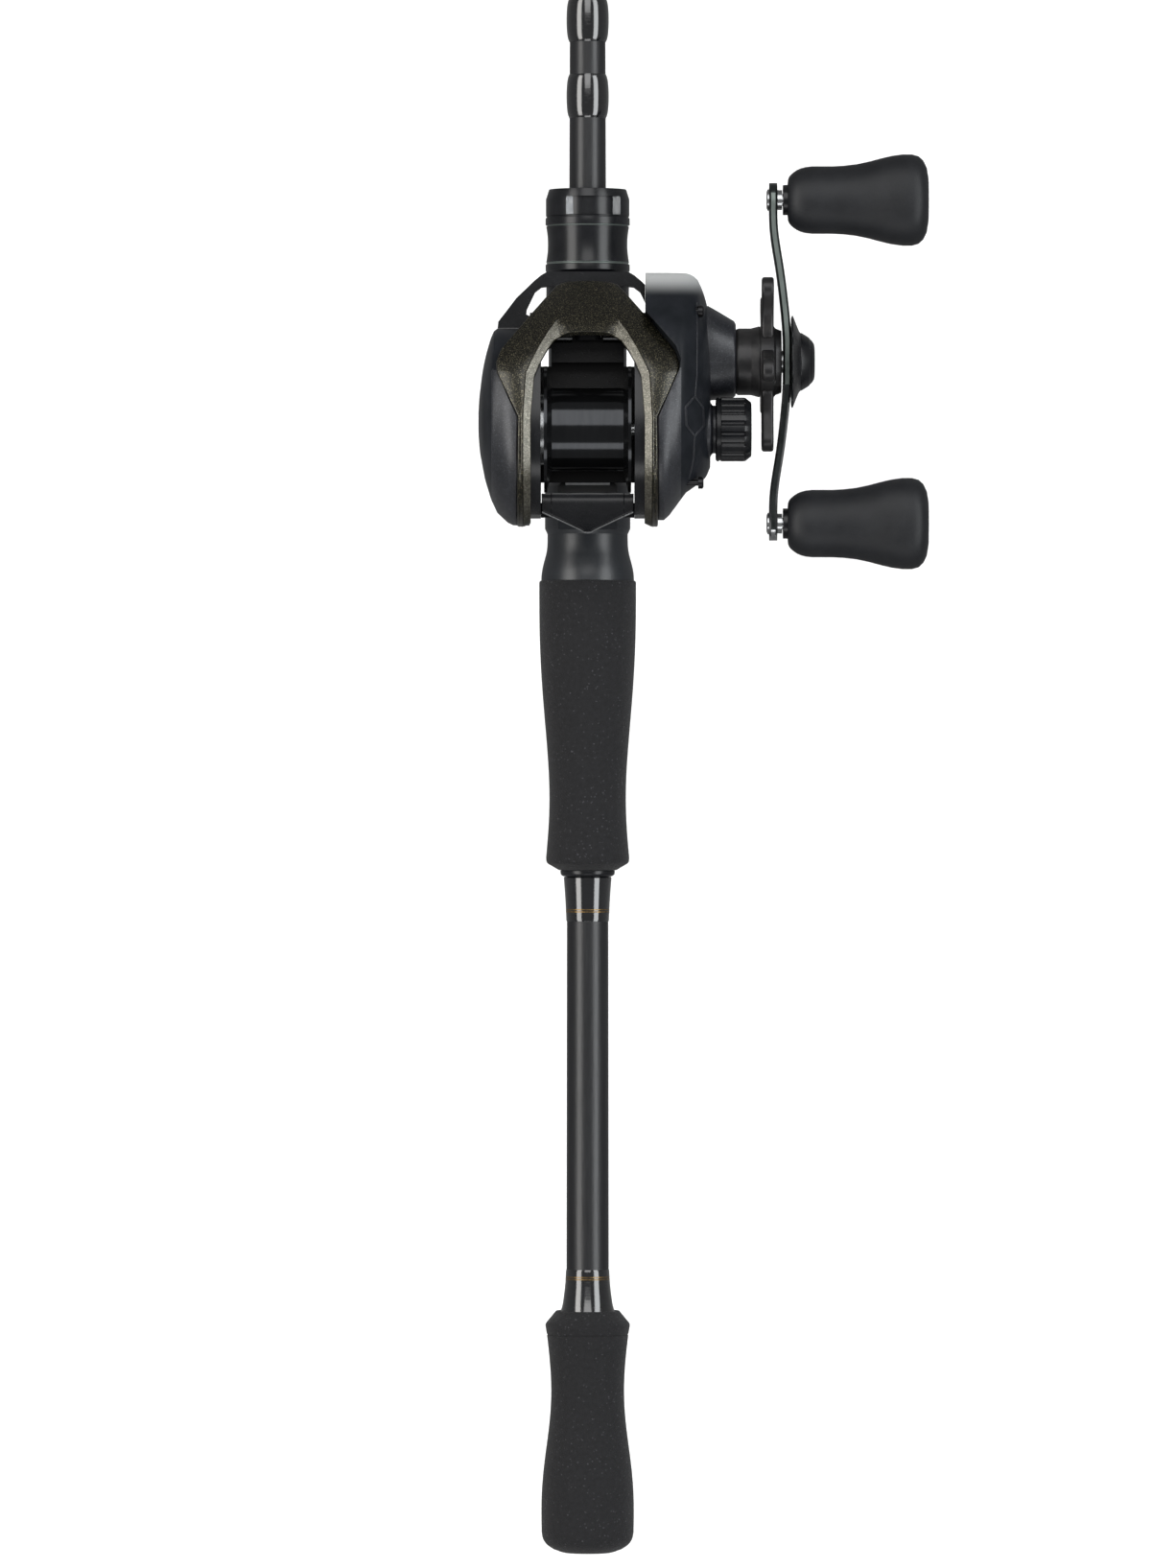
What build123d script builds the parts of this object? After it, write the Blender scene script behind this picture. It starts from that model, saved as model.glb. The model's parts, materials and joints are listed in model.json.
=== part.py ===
"""Casting rod with a low-profile baitcasting reel, as separate pieces.

Frame: the origin is the centre of the butt's end face, +Y runs along the rod to its tip, +Z is the side
that the reel and the guides stand on, and +X is the crank's side. Lengths are in millimetres.
"""
from build123d import *
from math import acos, cos, pi, radians, sin, sqrt, tan
import os

os.makedirs("parts", exist_ok=True)

# ---- Fits ----
GLUE = 0.03  # radial gap of a glued, wound or pressed piece
FIT = 0.05  # radial clearance of a piece that turns or slides on another

# ---- Rod ----
ROD_LENGTH = 2032.0
BLANK_TAPER = [(2.0, 5.85), (171.0, 5.62), (264.0, 5.35), (373.0, 4.98), (421.0, 4.82), (2027.0, 0.95)]
BLANK_BORE_END = 1780.0
BLANK_WALL = 1.0
BUTT_RADIUS = 12.5
BUTT_PIN_START, BUTT_PIN_LENGTH = 5.5, 10.0
BUTT_GRIP_END = 59.2
BUTT_RING_END = 65.8
TRIM_RADIUS = 7.6
REAR_GRIP_START, REAR_GRIP_END = 185.3, 263.9
ARBOR_RADIUS = 7.5

# ---- Reel seat ----
SADDLE_Z = 8.5
SEAT_RADIUS = 10.6
THREAD_RADIUS, THREAD_PITCH, THREAD_DEPTH = 9.4, 1.5, 0.4
THREAD_START, THREAD_END = 346.5, 368.0
HOOD_START, HOOD_END = 333.4, 346.9
NUT_START, NUT_END = 347.3, 370.1
NUT_RADIUS = 11.45
POCKET_TOP = 11.0

# ---- Guides: distance from the tip, hoop radius and height of the ring's centre above the blank ----
GUIDES = [
    (1240.0, 5.6, 13.0), (992.0, 4.6, 10.0), (784.0, 4.0, 8.2), (606.0, 3.6, 7.0),
    (452.0, 3.4, 6.4), (318.0, 3.2, 5.9), (200.0, 3.0, 5.4), (95.0, 3.0, 5.2),
]
TIP_HOOP, TIP_HEIGHT = 2.9, 4.6
HOOP_WALL, HOOP_DEPTH = 0.6, 1.5
INSERT_WALL = 1.1
FOOT_LENGTH, FOOT_WIDTH, FOOT_HEIGHT = 11.0, 2.4, 0.8
WRAP_HEIGHT = 1.25
KEEPER_Y = 405.8

# ---- Reel axes, all along X, as (Y, Z) ----
SPOOL_Y, SPOOL_Z = 304.0, 30.0
MAIN_Y, MAIN_Z = 322.5, 22.0
WORM_Y, WORM_Z = 329.0, 17.5
SPOOL_RADIUS, SPOOL_HALF = 17.0, 11.7
SHAFT_RADIUS = 1.5
HANDLE_RADIUS = 43.6

# ---- Reel frame ----
FRAME_INNER, FRAME_OUTER = 12.6, 15.5
COVER_THICKNESS = 2.0
DECK_BOTTOM, DECK_TOP = 10.65, 12.35
ROOF = [(344.0, 28.0), (337.0, 36.5), (327.0, 45.0), (315.0, 50.6), (304.0, 52.2), (292.0, 50.0), (283.5, 43.5),
        (279.0, 35.0)]
COVER_PLAN = [(18.9, 276.5), (18.6, 306.7), (24.2, 319.5), (24.6, 322.5), (23.2, 326.0), (9.7, 342.0), (7.7, 345.0)]
COVER_WINDOW = [(7.6, 329.8), (12.8, 323.8), (15.0, 316.4), (15.3, 276.5)]

# ---- Gears ----
DRIVE_TEETH, PINION_TEETH = 72, 10
IDLER_TEETH, WORM_TEETH = 24, 16
PRESSURE = radians(30)

# ---- Crank ----
ARM_THICKNESS = 2.2
ARM_HUB_X, ARM_END_X = 53.7, 50.0
POST_RADIUS = 1.65
KNOB_START, KNOB_END = 53.9, 91.9
STAR_RADIUS, STAR_ANGLE, STAR_ARMS = 24.3, 26.0, 5

ROD = Plane(origin=(0, 0, 0), x_dir=(0, 1, 0), z_dir=(0, 0, 1))
SPOOL = Plane(origin=(0, SPOOL_Y, SPOOL_Z), x_dir=(1, 0, 0), z_dir=(0, 0, 1))
MAIN = Plane(origin=(0, MAIN_Y, MAIN_Z), x_dir=(1, 0, 0), z_dir=(0, 0, 1))
WORM = Plane(origin=(0, WORM_Y, WORM_Z), x_dir=(1, 0, 0), z_dir=(0, 0, 1))
SIDE = Plane(origin=(0, 0, 0), x_dir=(0, 1, 0), z_dir=(1, 0, 0))


def save(builder, name):
    """Labels a finished piece and writes it to its own file."""
    builder.part.label = name
    export_step(builder.part, f"parts/{name}.step")


def turned(plane, outline, mode=Mode.ADD):
    """Turns a closed outline of (distance along the plane's x axis, radius) points."""
    with BuildSketch(plane) as profile:
        with BuildLine():
            Polyline(*outline, close=True)
        make_face()
    revolve(profile.sketch, axis=Axis(plane.origin, plane.x_dir), mode=mode)


def tube(plane, start, end, outer, inner=0.0, mode=Mode.ADD):
    """A plain tube or cylinder on the plane's x axis."""
    turned(plane, [(start, inner), (start, outer), (end, outer), (end, inner)], mode)


def block(x, y, z, mode=Mode.ADD):
    """A box from three (low, high) pairs."""
    with Locations(((x[0] + x[1]) / 2, (y[0] + y[1]) / 2, (z[0] + z[1]) / 2)):
        Box(x[1] - x[0], y[1] - y[0], z[1] - z[0], mode=mode)


def strut(start, end, radius):
    """A round bar between two points."""
    direction = Vector(*end) - Vector(*start)
    with BuildSketch(Plane(origin=start, z_dir=direction)) as section:
        Circle(radius)
    extrude(section.sketch, amount=direction.length)


def side_slab(x_start, x_end, view, mode=Mode.ADD):
    """Extrudes a side view from one X to another."""
    extrude(Pos(x_start, 0, 0) * view, amount=x_end - x_start, mode=mode)


def blank_radius(y):
    """Outer radius of the blank, straight between the stations of its taper."""
    for (y0, r0), (y1, r1) in zip(BLANK_TAPER, BLANK_TAPER[1:]):
        if y <= y1:
            return r0 + (r1 - r0) * (y - y0) / (y1 - y0)
    return BLANK_TAPER[-1][1]


# ======== Rod ========

with BuildPart() as rod_blank:
    turned(ROD, [(BLANK_TAPER[0][0], 0)] + BLANK_TAPER + [(BLANK_TAPER[-1][0], 0)])
    bore = [(y, blank_radius(y) - BLANK_WALL) for y in (BLANK_TAPER[0][0], 421.0)]
    turned(ROD, [(bore[0][0], 0)] + bore + [(BLANK_BORE_END, 0.6), (BLANK_BORE_END, 0)], Mode.SUBTRACT)
save(rod_blank, "rod_blank")

with BuildPart() as butt_grip:
    butt_bore = BLANK_TAPER[0][1] + GLUE
    with BuildSketch(ROD):
        with BuildLine():
            Line((0, 0), (0, 6.6))
            Spline((0, 6.6), (1.6, 10.9), (BUTT_PIN_START, BUTT_RADIUS), tangents=((0.2, 1), (1, 0)))
            Line((BUTT_PIN_START, BUTT_RADIUS), (BUTT_PIN_START + BUTT_PIN_LENGTH, BUTT_RADIUS))
            Spline((BUTT_PIN_START + BUTT_PIN_LENGTH, BUTT_RADIUS), (25, 11.7), (33.5, 10.6), (42, 9.95),
                   (50, 10.15), (BUTT_GRIP_END, 11.1), tangents=((1, 0), (1, 0.14)))
            Polyline((BUTT_GRIP_END, 11.1), (BUTT_GRIP_END, butt_bore), (1.95, butt_bore), (1.95, 0), (0, 0))
        make_face()
    revolve(axis=Axis.Y)
save(butt_grip, "butt_grip")

with BuildPart() as butt_grip_ring:
    turned(ROD, [(BUTT_GRIP_END + 0.02, butt_bore), (BUTT_GRIP_END + 0.02, 11.1), (62.1, 11.55),
                 (BUTT_RING_END, 8.4), (64.5, TRIM_RADIUS + 0.05), (64.5, butt_bore)])
save(butt_grip_ring, "butt_grip_ring")

with BuildPart() as rear_grip:
    grip_bore = ARBOR_RADIUS + GLUE
    with BuildSketch(ROD):
        with BuildLine():
            Line((REAR_GRIP_START, grip_bore), (REAR_GRIP_START + 2.5, 11.4))
            Spline((REAR_GRIP_START + 2.5, 11.4), (197, 10.65), (204.5, 10.4), (222.5, 11.35), (235.6, 12.4),
                   (250, 13.05), (REAR_GRIP_END, 13.15), tangents=((1, -0.1), (1, 0)))
            Polyline((REAR_GRIP_END, 13.15), (REAR_GRIP_END, grip_bore), (REAR_GRIP_START, grip_bore))
        make_face()
    revolve(axis=Axis.Y)
save(rear_grip, "rear_grip")

with BuildPart() as rear_check:
    check_bore = blank_radius(183) + GLUE
    turned(ROD, [(183.6, check_bore), (183.6, 6.6), (184.2, 7.3), (185.25, 7.45), (185.25, check_bore)])
save(rear_check, "rear_check")

with BuildPart() as seat_arbor:
    tube(ROD, 185.4, 367.5, ARBOR_RADIUS, blank_radius(185.4) + GLUE)
save(seat_arbor, "seat_arbor")


def seat_trigger():
    """Side view of the finger trigger under the seat, raked back to the butt."""
    with BuildSketch(SIDE) as view:
        with BuildLine():
            Spline((313.0, -9.2), (309.0, -14.5), (303.5, -22.0), (298.5, -27.0),
                   tangents=((-0.5, -1), (-1, -0.9)))
            ThreePointArc((298.5, -27.0), (295.6, -26.9), (295.6, -24.0))
            Spline((295.6, -24.0), (298.3, -18.0), (297.2, -12.5), (293.0, -9.2),
                   tangents=((1, 1.6), (-1, 0.5)))
            Line((293.0, -9.2), (313.0, -9.2))
        make_face()
    return view.sketch


with BuildPart() as reel_seat:
    seat_bore = ARBOR_RADIUS + GLUE
    turns = int((THREAD_END - THREAD_START) / THREAD_PITCH)
    thread = []
    for turn in range(turns):
        y = THREAD_START + turn * THREAD_PITCH
        thread += [(y, THREAD_RADIUS), (y + 0.4, THREAD_RADIUS - THREAD_DEPTH), (y + 0.9, THREAD_RADIUS)]
    with BuildSketch(ROD):
        with BuildLine():
            Line((REAR_GRIP_END + 0.05, seat_bore), (REAR_GRIP_END + 0.05, 12.6))
            Spline((REAR_GRIP_END + 0.05, 12.6), (266.5, 12.4), (271.0, 11.3), (276.5, 10.9),
                   tangents=((1, 0), (1, 0)))
            Polyline((276.5, 10.9), (278.0, 11.6), (289.5, 11.6), (291.0, SEAT_RADIUS), (333.0, SEAT_RADIUS),
                     (333.2, THREAD_RADIUS), *thread, (THREAD_END, THREAD_RADIUS), (THREAD_END, seat_bore),
                     (REAR_GRIP_END + 0.05, seat_bore))
        make_face()
    revolve(axis=Axis.Y)
    block((-8.0, 8.0), (277.6, 289.5), (6.0, 13.4))
    side_slab(-3.4, 3.4, seat_trigger())
    tube(ROD, REAR_GRIP_END, 300.0, seat_bore, mode=Mode.SUBTRACT)
    block((-6.5, 6.5), (281.0, 290.0), (SADDLE_Z, POCKET_TOP), Mode.SUBTRACT)
    block((-16.0, 16.0), (289.5, 345.5), (SADDLE_Z, 16.0), Mode.SUBTRACT)
    trigger_edges = reel_seat.edges().filter_by_position(Axis.Z, -27.5, -10.5).filter_by(
        lambda edge: abs(abs(edge.center().X) - 3.4) < 0.1)
    fillet(trigger_edges, 1.2)
save(reel_seat, "reel_seat")

with BuildPart() as seat_hood:
    tube(ROD, HOOD_START, HOOD_END, 11.25)
    block((-7.8, 7.8), (HOOD_START, HOOD_END), (6.0, 13.4))
    fillet(seat_hood.edges().filter_by(Axis.Y).sort_by(Axis.Z)[-2:], 2.5)
    tube(ROD, HOOD_START - 1, HOOD_END + 1, THREAD_RADIUS + FIT, mode=Mode.SUBTRACT)
    block((-6.5, 6.5), (HOOD_START - 1, 344.6), (SADDLE_Z - 0.1, POCKET_TOP), Mode.SUBTRACT)
save(seat_hood, "seat_hood")

with BuildPart() as lock_nut:
    nut_bore = THREAD_RADIUS + FIT
    with BuildSketch(ROD):
        with BuildLine():
            Polyline((NUT_START, nut_bore), (NUT_START, 10.8), (348.0, NUT_RADIUS), (349.8, NUT_RADIUS),
                     (349.9, 11.15), (350.3, 11.25))
            Spline((350.3, 11.25), (355.2, 10.8), (360.0, 11.25), tangents=((1, -0.15), (1, 0.15)))
            Polyline((360.0, 11.25), (360.1, 11.0), (360.3, NUT_RADIUS), (362.5, NUT_RADIUS), (362.6, 11.1),
                     (362.9, 11.35), (367.5, 11.35), (NUT_END, 10.5), (NUT_END, 6.4), (368.6, 6.4),
                     (368.6, nut_bore), (NUT_START, nut_bore))
        make_face()
    revolve(axis=Axis.Y)
    for angle in (90, 270):
        with BuildSketch(Plane(origin=(0, 363.3, 0), x_dir=(1, 0, 0), z_dir=(0, 1, 0))) as recess:
            with PolarLocations(0, 1, start_angle=angle):
                Polygon((8.3, -7.0), (13.0, -9.5), (13.0, 9.5), (8.3, 7.0), align=None)
            Circle(10.75, mode=Mode.SUBTRACT)
        extrude(recess.sketch, amount=5.0, mode=Mode.SUBTRACT)
save(lock_nut, "lock_nut")

# ======== Hook keeper and guides ========

KEEPER_FACE = -(blank_radius(KEEPER_Y - 16) + 0.06)
PIVOT_Z = KEEPER_FACE - 1.5
WIRE = 0.5
with BuildPart() as keeper_base:
    block((-1.5, 1.5), (KEEPER_Y - 15.5, KEEPER_Y + 15.5), (KEEPER_FACE - 0.6, KEEPER_FACE))
    block((-1.7, 1.7), (KEEPER_Y - 3.8, KEEPER_Y + 1.5), (KEEPER_FACE - 2.5, KEEPER_FACE))
    fillet(keeper_base.edges().filter_by(Axis.X).group_by(Axis.Z)[0], 0.8)
    with Locations(Location((0, KEEPER_Y - 1.2, PIVOT_Z), (0, 90, 0))):
        Cylinder(WIRE + FIT, 10, mode=Mode.SUBTRACT)
save(keeper_base, "keeper_base")

with BuildPart() as keeper_ring:
    with BuildLine() as loop:
        FilletPolyline((3.2, KEEPER_Y - 1.2, PIVOT_Z), (3.2, KEEPER_Y + 8.0, PIVOT_Z - 0.9),
                       (-3.2, KEEPER_Y + 8.0, PIVOT_Z - 0.9), (-3.2, KEEPER_Y - 1.2, PIVOT_Z),
                       close=True, radius=0.9)
    with BuildSketch(Plane(origin=loop.line @ 0, z_dir=loop.line % 0)):
        Circle(WIRE)
    sweep()
save(keeper_ring, "keeper_ring")


def hoop(y, height, outer, inner, depth):
    """A ring that faces along the rod, with its centre above the blank."""
    with BuildSketch(Plane(origin=(0, y - depth / 2, height), x_dir=(1, 0, 0), z_dir=(0, 1, 0))) as ring:
        Circle(outer)
        Circle(inner, mode=Mode.SUBTRACT)
    extrude(ring.sketch, amount=depth)


def guide_feet(index):
    """Y of each foot's near end and the way it points: the first guide has two feet, the others one."""
    from_tip, hoop_radius, height = GUIDES[index]
    y = ROD_LENGTH - from_tip
    reach = 0.8 * height
    return [(y + reach, 1), (y - reach, -1)] if index == 0 else [(y + reach, 1)]


for number, (from_tip, hoop_radius, height) in enumerate(GUIDES):
    y = ROD_LENGTH - from_tip
    feet = guide_feet(number)
    with BuildPart() as guide:
        foot_z = blank_radius(y - 12) + 0.05
        centre_z = blank_radius(y) + height
        hoop(y, centre_z, hoop_radius, hoop_radius - HOOP_WALL, HOOP_DEPTH)
        for near, way in feet:
            far = near + way * FOOT_LENGTH
            block((-FOOT_WIDTH / 2, FOOT_WIDTH / 2), sorted((near, far)), (foot_z, foot_z + FOOT_HEIGHT))
            for side in (-1, 1):
                hip = (side * (hoop_radius - 0.25) * 0.8, y, centre_z - (hoop_radius - 0.25) * 0.6)
                strut(hip, (side * 0.75, near + way * 0.8, foot_z + 0.5), 0.5)
        hole = Plane(origin=(0, 0, centre_z), x_dir=(0, 1, 0), z_dir=(0, 0, 1))
        tube(hole, y - HOOP_DEPTH, y + HOOP_DEPTH, hoop_radius - HOOP_WALL, mode=Mode.SUBTRACT)
    save(guide, f"guide_{number + 1}")

with BuildPart() as tip_top:
    tip_z = BLANK_TAPER[-1][1] + TIP_HEIGHT
    tube(ROD, 2018.0, 2028.3, 1.55)
    turned(ROD, [(2017.0, 0), (2017.0, 1.02), (2027.1, 1.0), (2027.1, 0)], Mode.SUBTRACT)
    hoop(ROD_LENGTH - HOOP_DEPTH / 2, tip_z, TIP_HOOP, TIP_HOOP - HOOP_WALL, HOOP_DEPTH)
    for side in (-1, 1):
        strut((side * 2.05, ROD_LENGTH - 1.1, tip_z - 1.6), (side * 0.9, 2020.5, 1.0), 0.5)
    strut((0, 2027.6, 0.3), (0, ROD_LENGTH - 1.1, tip_z - TIP_HOOP + 0.25), 0.7)
    hole = Plane(origin=(0, 0, tip_z), x_dir=(0, 1, 0), z_dir=(0, 0, 1))
    tube(hole, ROD_LENGTH - 2, ROD_LENGTH + 2, TIP_HOOP - HOOP_WALL, mode=Mode.SUBTRACT)
save(tip_top, "tip_top")

with BuildPart() as guide_inserts:
    for from_tip, hoop_radius, height in GUIDES + [(HOOP_DEPTH / 2, TIP_HOOP, TIP_HEIGHT)]:
        y = ROD_LENGTH - from_tip
        base = blank_radius(y) if from_tip > HOOP_DEPTH else BLANK_TAPER[-1][1]
        outer = hoop_radius - HOOP_WALL - GLUE
        hoop(y, base + height, outer, outer - INSERT_WALL, HOOP_DEPTH)
save(guide_inserts, "guide_inserts")


def wrap(start, end, radius, lip):
    """A thread winding under clear coat, with its ends run out thin."""
    inner = blank_radius(min(start, end)) + GLUE
    turned(ROD, [(start, inner), (start, inner + lip), (start + 1.6, radius), (end - 1.6, radius),
                 (end, inner + lip), (end, inner)])


with BuildPart() as thread_wraps:
    trim_bore = blank_radius(64) + GLUE
    turned(ROD, [(64.55, trim_bore), (64.55, 7.55), (66.5, 7.05), (69.5, 6.5), (73.0, 6.12), (76.9, 5.95),
                 (76.9, trim_bore)])
    rear_bore = blank_radius(171.4) + GLUE
    turned(ROD, [(171.4, rear_bore), (171.4, 5.8), (175.0, 5.95), (180.0, 6.25), (183.5, 6.45), (183.5, rear_bore)])
    for near in (KEEPER_Y - 16.3, KEEPER_Y + 4.4):
        wrap(near, near + 11.9, 5.75, 0.25)
        block((-1.53, 1.53), (near - 1, near + 13), (KEEPER_FACE - 0.63, KEEPER_FACE + 0.3), Mode.SUBTRACT)
    for number, (from_tip, hoop_radius, height) in enumerate(GUIDES):
        foot_z = blank_radius(ROD_LENGTH - from_tip - 12) + 0.05
        for near, way in guide_feet(number):
            start, end = sorted((near + way * 2.0, near + way * 13.5))
            wrap(start, end, blank_radius(start) + WRAP_HEIGHT, 0.3)
            block((-FOOT_WIDTH / 2 - 0.02, FOOT_WIDTH / 2 + 0.02), sorted((near, near + way * (FOOT_LENGTH + 0.1))),
                  (foot_z - 0.3, foot_z + FOOT_HEIGHT + 0.02), Mode.SUBTRACT)
save(thread_wraps, "thread_wraps")

# ======== Reel frame and covers ========


def inset(points, gap):
    """Moves a closed outline inward by a gap, corner by corner (the outline runs anticlockwise)."""
    moved = []
    for index, point in enumerate(points):
        before, here, after = (Vector(*points[(index + step) % len(points)]) for step in (-1, 0, 1))
        into, out = (here - before).normalized(), (after - here).normalized()
        bisector = (Vector(-into.Y, into.X) + Vector(-out.Y, out.X)).normalized()
        share = bisector.dot(Vector(-out.Y, out.X))
        moved.append((here.X + bisector.X * gap / share, here.Y + bisector.Y * gap / share))
    return moved


def side_view(gap=0.0):
    """The reel's side, from the nose over the roof to the tail and back along the foot."""
    base = [(278.0, 27.0), (281.0, 18.0), (287.0, DECK_BOTTOM), (336.0, DECK_BOTTOM), (342.5, 14.5), (344.0, 20.0)]
    outline = inset(ROOF + base, gap)
    roof = outline[:len(ROOF)]
    with BuildSketch(SIDE) as view:
        with BuildLine():
            Spline(*roof, tangents=((-0.45, 1), (-0.3, -1)))
            Polyline(*outline[len(ROOF) - 1:], outline[0])
        make_face()
    return view.sketch


def plan_view(points, z=0.0):
    """A closed plan outline at one height."""
    with BuildSketch(Plane.XY.offset(z)) as view:
        with BuildLine():
            Polyline(*points, close=True)
        make_face()
    return view.sketch


def both_sides(points):
    """Mirrors the +X half of an outline across the rod."""
    return points + [(-x, y) for x, y in reversed(points)]


NOSE_OUTER = [(24.3, 331.7), (24.1, 333.4), (19.2, 339.8), (14.4, 344.4), (12.6, 345.9), (10.9, 346.9)]
NOSE_INNER = [(15.0, 331.6), (15.0, 334.6), (16.6, 335.4), (16.4, 336.8), (14.2, 341.4), (12.5, 342.7), (10.5, 343.0)]
NOSE_Z = 14.6, 20.6
FRAME_FRONT = 335.2
THUMB_SLOT = (282.6, 286.8), (23.4, 32.6)
SHIELD_Z = 21.9, 23.3

with BuildPart() as reel_frame:
    frame_side = side_view(COVER_THICKNESS + 0.05)
    for near, far in ((-FRAME_OUTER, -FRAME_INNER), (FRAME_INNER, FRAME_OUTER)):
        side_slab(near, far, frame_side)
        block((near, far), (FRAME_FRONT, 350.0), (0.0, 60.0), Mode.SUBTRACT)
        block((near, far), (290.2, 330.0), (DECK_BOTTOM, 14.0))
    tube(SPOOL, -FRAME_OUTER - 1, -FRAME_INNER + 1, SPOOL_RADIUS + 0.6, mode=Mode.SUBTRACT)
    tube(SPOOL, FRAME_INNER - 1, FRAME_OUTER + 1, 5.2, mode=Mode.SUBTRACT)
    block((FRAME_INNER - 1, FRAME_OUTER + 1), *THUMB_SLOT, Mode.SUBTRACT)
    block((-FRAME_INNER, FRAME_INNER), (290.2, 330.0), (DECK_BOTTOM, DECK_TOP))
    for near, far in ((-FRAME_INNER, -9.8), (9.8, FRAME_INNER)):
        block((near, far), (321.6, 326.5), (DECK_BOTTOM, DECK_TOP), Mode.SUBTRACT)
    block((-9.7, 9.7), (322.3, 327.6), SHIELD_Z)
    block((-FRAME_INNER, FRAME_INNER), (326.2, 327.6), SHIELD_Z)
    block((-FRAME_INNER, FRAME_INNER), (280.6, 284.5), (15.0, 22.0))
    nose = plan_view(both_sides(NOSE_OUTER)) - plan_view(both_sides(NOSE_INNER))
    extrude(Pos(0, 0, NOSE_Z[0]) * nose, amount=NOSE_Z[1] - NOSE_Z[0])
    block((FRAME_OUTER, 30.0), (320.0, 350.0), (10.0, 25.0), Mode.SUBTRACT)
    tube(WORM, -FRAME_OUTER - 1, FRAME_OUTER + 1, SHAFT_RADIUS + FIT, mode=Mode.SUBTRACT)
save(reel_frame, "reel_frame")

with BuildPart() as reel_foot:
    block((-6.0, 6.0), (281.4, 343.9), (SADDLE_Z + GLUE, DECK_BOTTOM - GLUE))
    fillet(reel_foot.edges().filter_by(Axis.Z), 3.0)
save(reel_foot, "reel_foot")


def cover_space(gap):
    """Everything over the underside of the top cover, inside its plan, grown by a gap."""
    plan = plan_view(both_sides([(x + gap, y + (gap if y > 320 else -gap)) for x, y in COVER_PLAN]))
    column = extrude(plan, amount=70.0, mode=Mode.PRIVATE)
    under = extrude(Pos(-40, 0, 0) * side_view(COVER_THICKNESS + gap), amount=80.0, mode=Mode.PRIVATE)
    return column - under - Pos(0, 310, 5) * Box(90, 90, 30, mode=Mode.PRIVATE)


with BuildPart() as top_cover:
    side_slab(-25.0, 25.0, side_view())
    side_slab(-25.0, 25.0, side_view(COVER_THICKNESS), Mode.SUBTRACT)
    extrude(plan_view(both_sides(COVER_PLAN)), amount=70.0, mode=Mode.INTERSECT)
    extrude(plan_view(both_sides(COVER_WINDOW)), amount=70.0, mode=Mode.SUBTRACT)
    block((-30.0, 30.0), (270.0, 350.0), (0.0, 27.0), Mode.SUBTRACT)
save(top_cover, "top_cover")


def rounded_side(points, gap=0.0):
    """A closed, smooth side outline, moved inward by a gap."""
    with BuildSketch(SIDE) as view:
        with BuildLine():
            Spline(*inset(points, gap), periodic=True)
        make_face()
    return view.sketch


def front_view(points):
    """A closed outline with X across and Z up, ready to be run along Y."""
    with BuildSketch(Plane(origin=(0, 360, 0), x_dir=(1, 0, 0), z_dir=(0, -1, 0))) as view:
        with BuildLine():
            Polyline(*points, close=True)
        make_face()
    return view.sketch


PALM_SIDE = [(331.2, 27.0), (327.0, 40.5), (316.5, 49.0), (304.0, 51.6), (291.5, 48.4), (281.8, 39.5),
             (278.2, 29.0), (281.5, 17.5), (291.5, 9.5), (305.0, 7.4), (318.5, 9.8), (328.0, 16.5)]
PALM_PLAN = [(-15.6, 332.0), (-23.6, 332.0), (-25.3, 330.6), (-27.5, 324.6), (-29.0, 317.0), (-29.5, 309.5),
             (-29.1, 300.0), (-27.6, 291.5), (-24.3, 282.0), (-19.0, 277.7), (-15.6, 277.7)]
PALM_FRONT = [(-15.6, 7.0), (-22.0, 7.0), (-27.0, 12.0), (-29.6, 22.0), (-29.6, 34.0), (-27.6, 44.0),
              (-23.0, 50.0), (-15.6, 52.0)]
HUB_RADIUS, BEARING_RADIUS = 6.0, 4.0
with BuildPart() as palm_plate:
    side_slab(-29.6, -15.6, rounded_side(PALM_SIDE))
    extrude(plan_view(PALM_PLAN), amount=70.0, mode=Mode.INTERSECT)
    extrude(front_view(PALM_FRONT), amount=90.0, mode=Mode.INTERSECT)
    tube(SPOOL, -24.0, -15.0, SPOOL_RADIUS, HUB_RADIUS, Mode.SUBTRACT)
    tube(SPOOL, -17.6, -15.0, HUB_RADIUS + 0.1, mode=Mode.SUBTRACT)
    tube(SPOOL, -21.1, -15.0, BEARING_RADIUS + GLUE, mode=Mode.SUBTRACT)
    tube(SPOOL, -23.0, -15.0, SHAFT_RADIUS + 0.8, mode=Mode.SUBTRACT)
    add(cover_space(0.35), mode=Mode.SUBTRACT)
save(palm_plate, "palm_plate")

with BuildPart() as palm_bearing:
    tube(SPOOL, -21.0, -18.5, BEARING_RADIUS, SHAFT_RADIUS + FIT)
save(palm_bearing, "palm_bearing")

with BuildPart() as brake_drum:
    tube(SPOOL, -18.8, -17.65, SPOOL_RADIUS - GLUE, HUB_RADIUS + GLUE)
    tube(SPOOL, -18.8, -10.4, 9.4, 8.6)
save(brake_drum, "brake_drum")

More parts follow.
